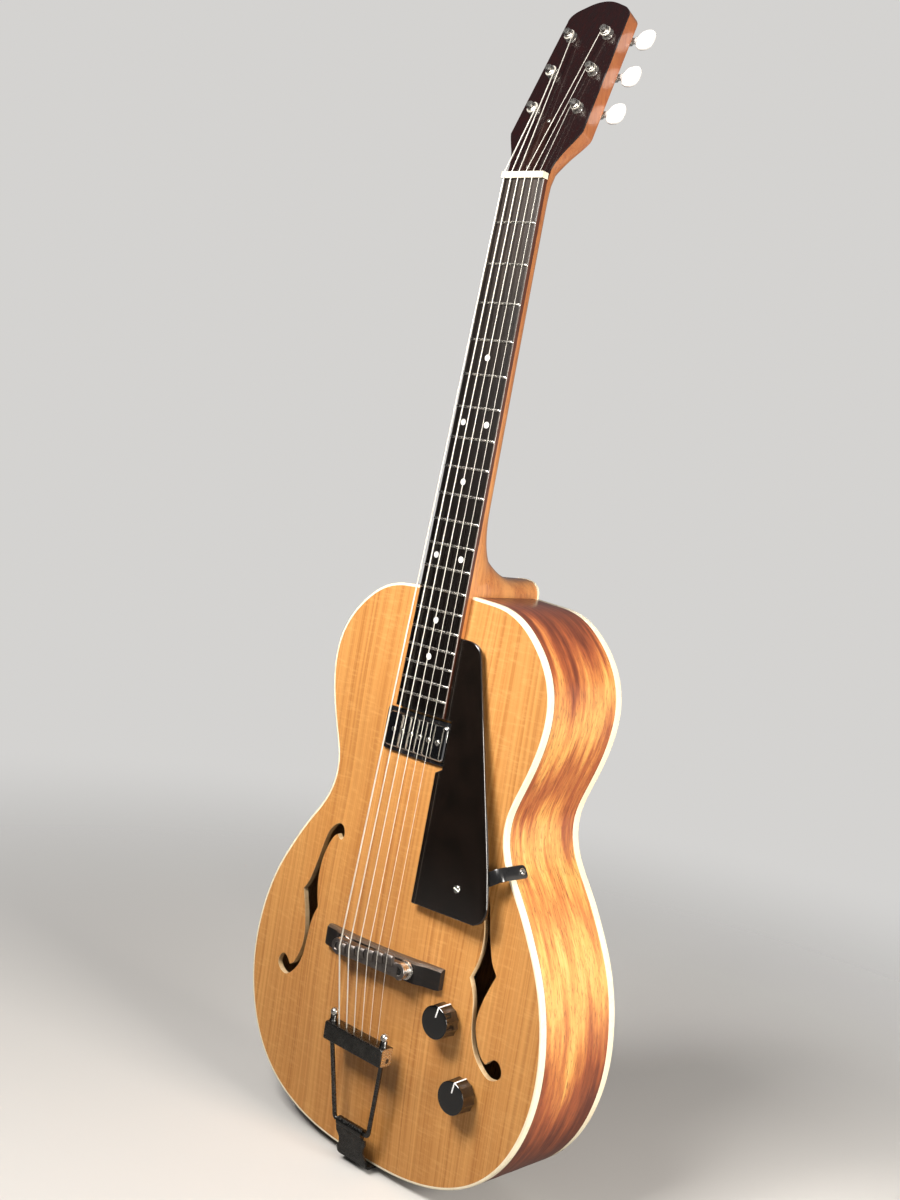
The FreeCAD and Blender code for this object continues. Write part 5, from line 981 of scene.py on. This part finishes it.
# ------------------------------------------------------------------ tuner buttons, bushings and string turns
TUNERS = [(1, 1, 22.2, 60.6), (2, 1, 20.5, 96.2), (3, 1, 18.6, 131.6), (4, -1, 18.6, 131.6), (5, -1, 20.5, 96.2), (6, -1, 22.2, 60.6)]
BUTTON_X = {60.6: 43.9, 96.2: 42.6, 131.6: 40.6}
WORM_Y = 19.7


def sgn_pow(v, e):
    return math.copysign(abs(v) ** e, v)


for n, side, px, u in TUNERS:
    bm = bmesh.new()
    bx, wz = side * BUTTON_X[u], u + 8.5
    rings = []
    e1 = 2 / 2.35
    for i in range(25):
        la = math.pi * (i / 24 - 0.5)
        ring = []
        for j in range(48):
            lo = 2 * math.pi * j / 48
            cx_, cz_ = sgn_pow(math.cos(lo), e1), sgn_pow(math.sin(lo), e1)
            cr = max(abs(math.cos(la)) ** 0.82, 0.004)
            wide = 1.0 + 0.05 * side * cx_
            ring.append(HEAD @ Vector((bx + 8.6 * cx_ * cr, WORM_Y + 3.8 * sgn_pow(math.sin(la), 0.9), wz + 9.5 * cz_ * cr * wide)))
        rings.append(ring)
    add_loft(bm, rings)
    ax = HEAD @ Matrix.Translation((bx - side * 11.0, WORM_Y, wz)) @ Matrix.Rotation(math.radians(90 * side), 4, 'Y')
    add_lathe(bm, [(1.62, 0.0), (2.3, 0.0), (2.55, 0.3), (2.6, 1.0), (2.85, 2.0), (3.4, 3.4), (3.6, 4.2)], ax, 32)
    piece("tuner_button_oval_%d" % n, fix(bm), ["white"], body="tuner_key_%d" % n, replaces=("tuner_button_%d" % n,), sharp=50)
    # turns of string on the post
    d = STR_D[6 - n]
    bm = bmesh.new()
    turns = max(1.6, min(3.2, 1.7 / d))
    steps = int(turns * 28)
    R = 3.9 + d / 2 - 0.02
    path = []
    for i in range(steps + 1):
        a = math.pi * (1 if side > 0 else 0) + side * 2 * math.pi * turns * i / steps
        path.append(HEAD @ Vector((side * px + R * math.cos(a), -4.6 + min(1.3, d * 1.02 * turns) * i / steps, u + R * math.sin(a))))
    add_tube(bm, path, d / 2 * 0.98, 10)
    piece("string_turns_%d" % n, fix(bm), ["string"], body="string_post_%d" % n, sharp=60)

bm = bmesh.new()
for n, side, px, u in TUNERS:
    base = HEAD @ Matrix.Translation((side * px, 0, u)) @ Matrix.Rotation(math.radians(90), 4, 'X')
    add_lathe(bm, [(3.1, 0.02), (5.15, 0.02), (5.2, 0.2), (5.1, 0.42), (3.1, 0.45)], base, 40)
    hexa = []
    for rr, hgt in ((4.35, 0.45), (4.8, 0.6), (4.8, 1.85), (4.35, 2.25), (3.15, 2.3)):
        hexa.append([base @ Vector((rr * math.cos(math.radians(60 * i + 12)), rr * math.sin(math.radians(60 * i + 12)), hgt)) for i in range(6)])
    add_loft(bm, hexa)
piece("tuner_hex_bushings", fix(bm), ["nickel"], replaces=("tuner_bushings",), sharp=25)

# ------------------------------------------------------------------ tailpiece
bm = bmesh.new()
TY0, TZ0, TZ1 = -78.6, 97.0, 112.0
face_poly = [(x, z + (TZ0 + TZ1) / 2) for x, z in rrect(67.0, 15.0, 1.6, 5)]
add_slab(bm, face_poly, TY0, TY0 + 2.2, 0.9, 4)
add_block(bm, -33.4, 33.4, TY0 + 1.2, -65.1, TZ1 - 1.8, TZ1, 0.5)
add_block(bm, -32.6, 32.6, -66.3, -65.15, TZ1 - 1.2, TZ1 - 0.02, 0.35, None, 1)
for sx in (-1, 1):
    x0 = 31.7 * sx
    side_poly = [(y, z) for y, z in rrect(12.6, 14.8, 2.4, 6)]
    rings = []
    for x in (x0, x0 + sx * 0.25, x0 + sx * 1.5, x0 + sx * 1.75):
        d = 0.25 if x in (x0, x0 + sx * 1.75) else 0.0
        rings.append([Vector((x, (TY0 + 1.0 - 65.1) / 2 + a, (TZ0 + TZ1) / 2 + b)) for a, b in inset(side_poly, d)])
    add_loft(bm, rings, mat=1)
    # painted shade: a black plug on each end stands for the hole there
    hole = Matrix.Translation((x0 + sx * 1.3, TY0 + 8.5, TZ0 + 4.4)) @ Matrix.Rotation(math.radians(90 * sx), 4, 'Y')
    add_lathe(bm, [(2.2, 0.0), (2.2, 0.40), (1.9, 0.47), (1.7, 0.47)], hole, 32, 2)
# raised line along the front face's border
for z in (TZ0 + 2.3, TZ1 - 2.3):
    add_block(bm, -31.4, 31.4, TY0 - 0.02, TY0 + 0.5, z - 0.32, z + 0.32, 0.2)
piece("tailpiece_cross_bar", fix(bm), ["dark_nickel", "nickel", "black"], replaces=("tailpiece_bar",), sharp=38)

bm = bmesh.new()
for sx in (-1, 1):
    at = Matrix.Translation((sx * 29.6, -73.0, TZ1))
    add_lathe(bm, [(3.2, 0.0), (3.4, 0.35), (3.4, 1.1), (3.1, 1.5), (2.9, 2.0), (2.9, 5.6), (2.6, 6.0)], at, 40, 1)
    add_lathe(bm, [(2.6, 5.95), (2.95, 6.4), (3.3, 7.1), (3.4, 7.9), (3.35, 8.7), (3.1, 9.6), (2.6, 10.4), (1.8, 11.1), (0.9, 11.5), (0.0, 11.6)], at, 40)
piece("tailpiece_ball_finials", fix(bm), ["nickel", "dark_nickel"], replaces=("tailpiece_finials",), sharp=60)

# ------------------------------------------------------------------ neck, heel and headstock as one carved piece
BT, VT, HT = 5.0, 1.5, 13.5


def d_ring(w, depth, e1, e2, k=44):
    out = []
    for i in range(k + 1):
        a = math.pi * i / k
        c, q = math.cos(a), max(math.sin(a), 0.0)
        out.append((w * math.copysign(abs(c) ** e1, c), depth * q ** e2))
    return out


rings = []
# heel, from the cap forward; sections stand on the end of the body
PIV = Vector((0, 20.0, 545.0))
AX_Y, AX_Z = 52.2, 50.3
END_Z = BODY_LEN - 3.0


def heel_half(y):
    return float(np.interp(y, [-46.0, -36.0, -27.5, -17.5, -6.0, 10.0, 35.0, 44.5], [25.2, 24.9, 24.4, 23.4, 22.0, 19.9, 17.1, 16.5]))


for y in (44.45, 44.3, 43.0, 40.0, 36.0, 32.0, 28.0, 24.0):
    top = BODY_LEN + float(np.interp(y, [20.0, 44.5], [14.1, 14.0])) - END_Z
    rings.append([Vector((x, y, END_Z + d)) for x, d in d_ring(heel_half(y), top, 0.80, 0.80)])
# bend round the pivot into the neck
u_dir = (BOARD.to_3x3() @ Vector((0, 0, 1)))
b_pt = BOARD @ Vector((0, BT, 0))
NB = 34
for i in range(NB + 1):
    th = math.pi / 2 * (1 - i / NB)
    dy, dz = -math.cos(th), -math.sin(th)
    r_in = 1.0 / math.sqrt((math.cos(th) / AX_Y) ** 2 + (math.sin(th) / AX_Z) ** 2)
    # ray from the pivot to the underside of the board, or to the end of the body
    ny, nz = u_dir.z, -u_dir.y
    den = dy * ny + dz * nz
    r_board = ((b_pt.y - PIV.y) * ny + (b_pt.z - PIV.z) * nz) / den if abs(den) > 1e-6 else 1e9
    r_body = (END_Z - PIV.z) / dz if dz < -1e-6 else 1e9
    r_board = r_board if r_board > 0 else 1e9
    r_out = min(r_board, r_body)
    fy, fz = PIV.y + dy * r_out, PIV.z + dz * r_out
    if r_body <= r_board:
        w = heel_half(fy)
    else:
        w = board_half((811.9 - fz) / math.cos(PHI)) - 0.02
    t = i / NB
    e1, e2 = 0.80 + 0.10 * t, 0.80 + 0.05 * t
    rings.append([Vector((x, fy - dy * d, fz - dz * d)) for x, d in d_ring(w, r_out - r_in, e1, e2)])
s0 = (811.9 - PIV.z) / math.cos(PHI)
y_back = (BOARD.inverted() @ Vector((0, PIV.y - AX_Y, PIV.z))).y - BT
for s, dep in zip(np.linspace(s0 - 7.0, 22.0, 26), np.interp(np.linspace(s0 - 7.0, 22.0, 26), [0, 60, 150, 230, s0], [14.2, 14.4, 15.0, 15.9, y_back])):
    rings.append([BOARD @ Vector((x, BT + d, -s)) for x, d in d_ring(board_half(s) - 0.02, dep, 0.92, 0.86)])
for s, dep in ((14.0, 14.2), (8.0, 14.3), (3.0, 14.5)):
    rings.append([BOARD @ Vector((x, BT + d, -s)) for x, d in d_ring(board_half(s) - 0.02, dep, 0.90 - (14 - s) * 0.006, 0.84 - (14 - s) * 0.006)])
# throat and flare, in the headstock's own frame
FLARE = cubic([(21.55, 4.0), (21.9, 7.0), (23.6, 12.0), (28.0, 22.0), (33.4, 31.5), (36.4, 38.0)], 22)
for x, z in FLARE[1:]:
    t = (z - 4.0) / 34.0
    e = 0.74 * (1 - t) ** 1.3 + 0.055
    rings.append([HEAD @ Vector((xx, VT + d, z)) for xx, d in d_ring(float(x), HT + 2.0 * (1 - t) ** 2, e, e)])
for x, z in ((36.85, 39.6), (36.9, 41.5), (36.4, 50.0), (35.0, 75.0), (33.5, 100.0), (32.1, 125.0), (30.9, 146.0)):
    rings.append([HEAD @ Vector((xx, VT + d, z)) for xx, d in d_ring(x, HT, 0.055, 0.055)])
CROWN = cubic([(30.8, 148.0), (30.2, 152.2), (27.6, 155.8), (20.0, 160.2), (10.0, 164.2), (0.0, 165.6)], 26)
for x, z in CROWN[:-1]:
    rings.append([HEAD @ Vector((xx, VT + d, z)) for xx, d in d_ring(max(float(x), 0.4), HT, 0.055, 0.055)])
bm = bmesh.new()
add_loft(bm, rings)
# raised strip between the board's end and the soundboard
sa, sb = 326.0, 428.3
for sx in (1,):
    top_r, bot_r = [], []
    grid = []
    for s in np.linspace(sa, sb, 9):
        row = []
        for x in (-(board_half(s) - 0.9), board_half(s) - 0.9):
            p = BOARD @ Vector((x, BT, -s))
            q = Vector((p.x, YF - arch(p.x, p.z, 14.2) + 1.6, p.z))
            row.append((p, q))
        grid.append(row)
    rr = []
    for row in grid:
        (p0, q0), (p1, q1) = row
        rr.append([p0, p1, Vector((q1.x, max(q1.y, p1.y + 0.2), q1.z)), Vector((q0.x, max(q0.y, p0.y + 0.2), q0.z))])
    add_loft(bm, rr)
piece("neck_heel_headstock", fix(bm), ["neck"], replaces=("neck",), sharp=32)

# fingerboard: crowned face, eased long edges, square sides
bm = bmesh.new()
rings = []
EASE = 0.75


def board_crown(x):
    return 305.0 - math.sqrt(305.0 ** 2 - x * x) + 0.04


for s in [0.0, 0.3] + list(np.linspace(8.0, 424.0, 53)) + [431.0, 431.5]:
    end = 0.3 if s in (0.0, 431.5) else 0.0
    w = board_half(s)
    xe = w - EASE
    ye = board_crown(xe) + EASE
    ring = [(float(x), board_crown(float(x)) + end) for x in np.linspace(-xe, xe, 21)]
    ring += [(xe + EASE * math.sin(a), ye - EASE * math.cos(a) + end * math.cos(a)) for a in np.linspace(0, math.pi / 2, 9)[1:]]
    ring += [(w, BT - 0.03), (-w, BT - 0.03)]
    ring += [(-xe - EASE * math.sin(a), ye - EASE * math.cos(a) + end * math.cos(a)) for a in np.linspace(math.pi / 2, 0, 9)[:-1]]
    rings.append([BOARD @ Vector((x, y, -s)) for x, y in ring])
add_loft(bm, rings)
fix(bm)
bm.normal_update()
# eased edge faces take the edge wood: a glossier finish plus a lighter colour, a painted highlight along the edges
for f in bm.faces:
    nx = abs(f.normal.x)
    f.material_index = 1 if nx > 0.985 else (2 if nx > 0.16 else 0)
piece("fingerboard_crowned", bm, ["rosewood", "board_side", "board_edge_highlight"], replaces=("fingerboard",), sharp=38)

# heel cap: thin cream leaf that follows the heel's end
bm = bmesh.new()
cap_rings = []
for y, grow in ((44.45, -0.05), (44.5, 0.30), (44.6, 0.38), (46.5, 0.38), (46.9, 0.05), (47.05, -0.4)):
    cap_rings.append([Vector((x, y, BODY_LEN - 0.5 + d)) for x, d in d_ring(16.5 + grow, 14.5 + grow, 0.80, 0.80)])
add_loft(bm, cap_rings)
piece("heel_cap_leaf", fix(bm), ["cream"], replaces=("heel_cap",), sharp=40)

# ------------------------------------------------------------------ stage, lights and camera
fb = bmesh.new()
bmesh.ops.create_circle(fb, cap_ends=True, segments=128, radius=1.6)
fm = bpy.data.meshes.new("floor")
fb.to_mesh(fm)
fb.free()
floor = bpy.data.objects.new("floor", fm)
floor.location = (0, 0, CAD_BOX[0][2] - 0.0005)
scene.collection.objects.link(floor)
fmat = bpy.data.materials.new("floor_pale")
fmat.use_nodes = True
nt = fmat.node_tree
bs = nt.nodes["Principled BSDF"]
bs.inputs["Base Color"].default_value = (0.60, 0.585, 0.565, 1)
bs.inputs["Roughness"].default_value = 0.85
tcf = nt.nodes.new("ShaderNodeTexCoord")
vlen = nt.nodes.new("ShaderNodeVectorMath")
vlen.operation = 'LENGTH'
nt.links.new(tcf.outputs["Object"], vlen.inputs[0])
fade = nt.nodes.new("ShaderNodeMapRange")
fade.interpolation_type = 'SMOOTHSTEP'
fade.inputs[1].default_value = 0.25
fade.inputs[2].default_value = 1.45
nt.links.new(vlen.outputs["Value"], fade.inputs[0])
lpf = nt.nodes.new("ShaderNodeLightPath")
tone = nt.nodes.new("ShaderNodeMix")
tone.data_type = 'RGBA'
tone.inputs[6].default_value = (0.17, 0.165, 0.16, 1)
tone.inputs[7].default_value = (0.60, 0.585, 0.565, 1)
nt.links.new(lpf.outputs["Is Camera Ray"], tone.inputs[0])
nt.links.new(tone.outputs[2], bs.inputs["Base Color"])
clear = nt.nodes.new("ShaderNodeBsdfTransparent")
mixf = nt.nodes.new("ShaderNodeMixShader")
nt.links.new(fade.outputs[0], mixf.inputs[0])
nt.links.new(bs.outputs[0], mixf.inputs[1])
nt.links.new(clear.outputs[0], mixf.inputs[2])
nt.links.new(mixf.outputs[0], nt.nodes["Material Output"].inputs[0])
fm.materials.append(fmat)

world = bpy.data.worlds.new("studio")
scene.world = world
world.use_nodes = True
wn = world.node_tree
wn.nodes.clear()
wo = wn.nodes.new("ShaderNodeOutputWorld")
mixw = wn.nodes.new("ShaderNodeMixShader")
lp = wn.nodes.new("ShaderNodeLightPath")
bg1 = wn.nodes.new("ShaderNodeBackground")
bg1.inputs[1].default_value = 1.0
tcw = wn.nodes.new("ShaderNodeTexCoord")
dotw = wn.nodes.new("ShaderNodeVectorMath")
dotw.operation = 'DOT_PRODUCT'
dotw.inputs[1].default_value = (-0.675, -0.715, 0.18)
wn.links.new(tcw.outputs["Generated"], dotw.inputs[0])
flag = wn.nodes.new("ShaderNodeMapRange")
flag.interpolation_type = 'SMOOTHSTEP'
flag.inputs[1].default_value = 0.60
flag.inputs[2].default_value = 0.86
wn.links.new(dotw.outputs["Value"], flag.inputs[0])
shade = wn.nodes.new("ShaderNodeMix")
shade.data_type = 'RGBA'
shade.inputs[6].default_value = (0.165, 0.165, 0.170, 1)
shade.inputs[7].default_value = (0.010, 0.010, 0.011, 1)
wn.links.new(flag.outputs[0], shade.inputs[0])
wn.links.new(shade.outputs[2], bg1.inputs[0])
bg2 = wn.nodes.new("ShaderNodeBackground")
bg2.inputs[0].default_value = (0.66, 0.65, 0.635, 1)
bg2.inputs[1].default_value = 1.0
wn.links.new(lp.outputs["Is Camera Ray"], mixw.inputs[0])
wn.links.new(bg1.outputs[0], mixw.inputs[1])
wn.links.new(bg2.outputs[0], mixw.inputs[2])
wn.links.new(mixw.outputs[0], wo.inputs[0])


def area(name, loc, target, size, power, colour=(1, 0.97, 0.93), size_y=None):
    li = bpy.data.lights.new(name, 'AREA')
    li.shape = 'RECTANGLE'
    li.size = size
    li.size_y = size_y or size
    li.energy = power
    li.color = colour
    ob = bpy.data.objects.new(name, li)
    ob.location = loc
    ob.rotation_euler = (Vector(target) - Vector(loc)).to_track_quat('-Z', 'Y').to_euler()
    scene.collection.objects.link(ob)
    return ob


area("key", (-0.05, -0.90, 1.24), (0.0, -0.05, 0.52), 0.50, 23.5)
area("upper", (-0.25, -0.85, 1.10), (-0.01, -0.06, 0.42), 0.30, 0.40).data.spread = math.radians(32)
area("side", (1.30, -0.10, 0.52), (0.13, 0.0, 0.28), 0.45, 24.0, (1, 0.95, 0.88), 0.6)
area("back_strip", (1.05, 1.10, 0.30), (0.13, 0.0, 0.22), 0.6, 1.6, (1, 0.90, 0.78), 1.1)

cam = bpy.data.cameras.new("camera")
cam.lens = 44.73
cam.sensor_width = 36.0
cam.sensor_fit = 'AUTO'
cam.clip_start = 0.01
co = bpy.data.objects.new("camera", cam)
r_, u_, f_ = Vector((0.7263, 0.6692, 0.1572)), Vector((-0.1766, -0.0395, 0.9835)), Vector((-0.6643, 0.7421, -0.0894))
mw = Matrix((r_, u_, -f_)).transposed().to_4x4()
mw.translation = Vector((0.7996, -0.9385, 0.5804))
co.matrix_world = mw
scene.collection.objects.link(co)
scene.camera = co
scene.view_settings.view_transform = 'Standard'
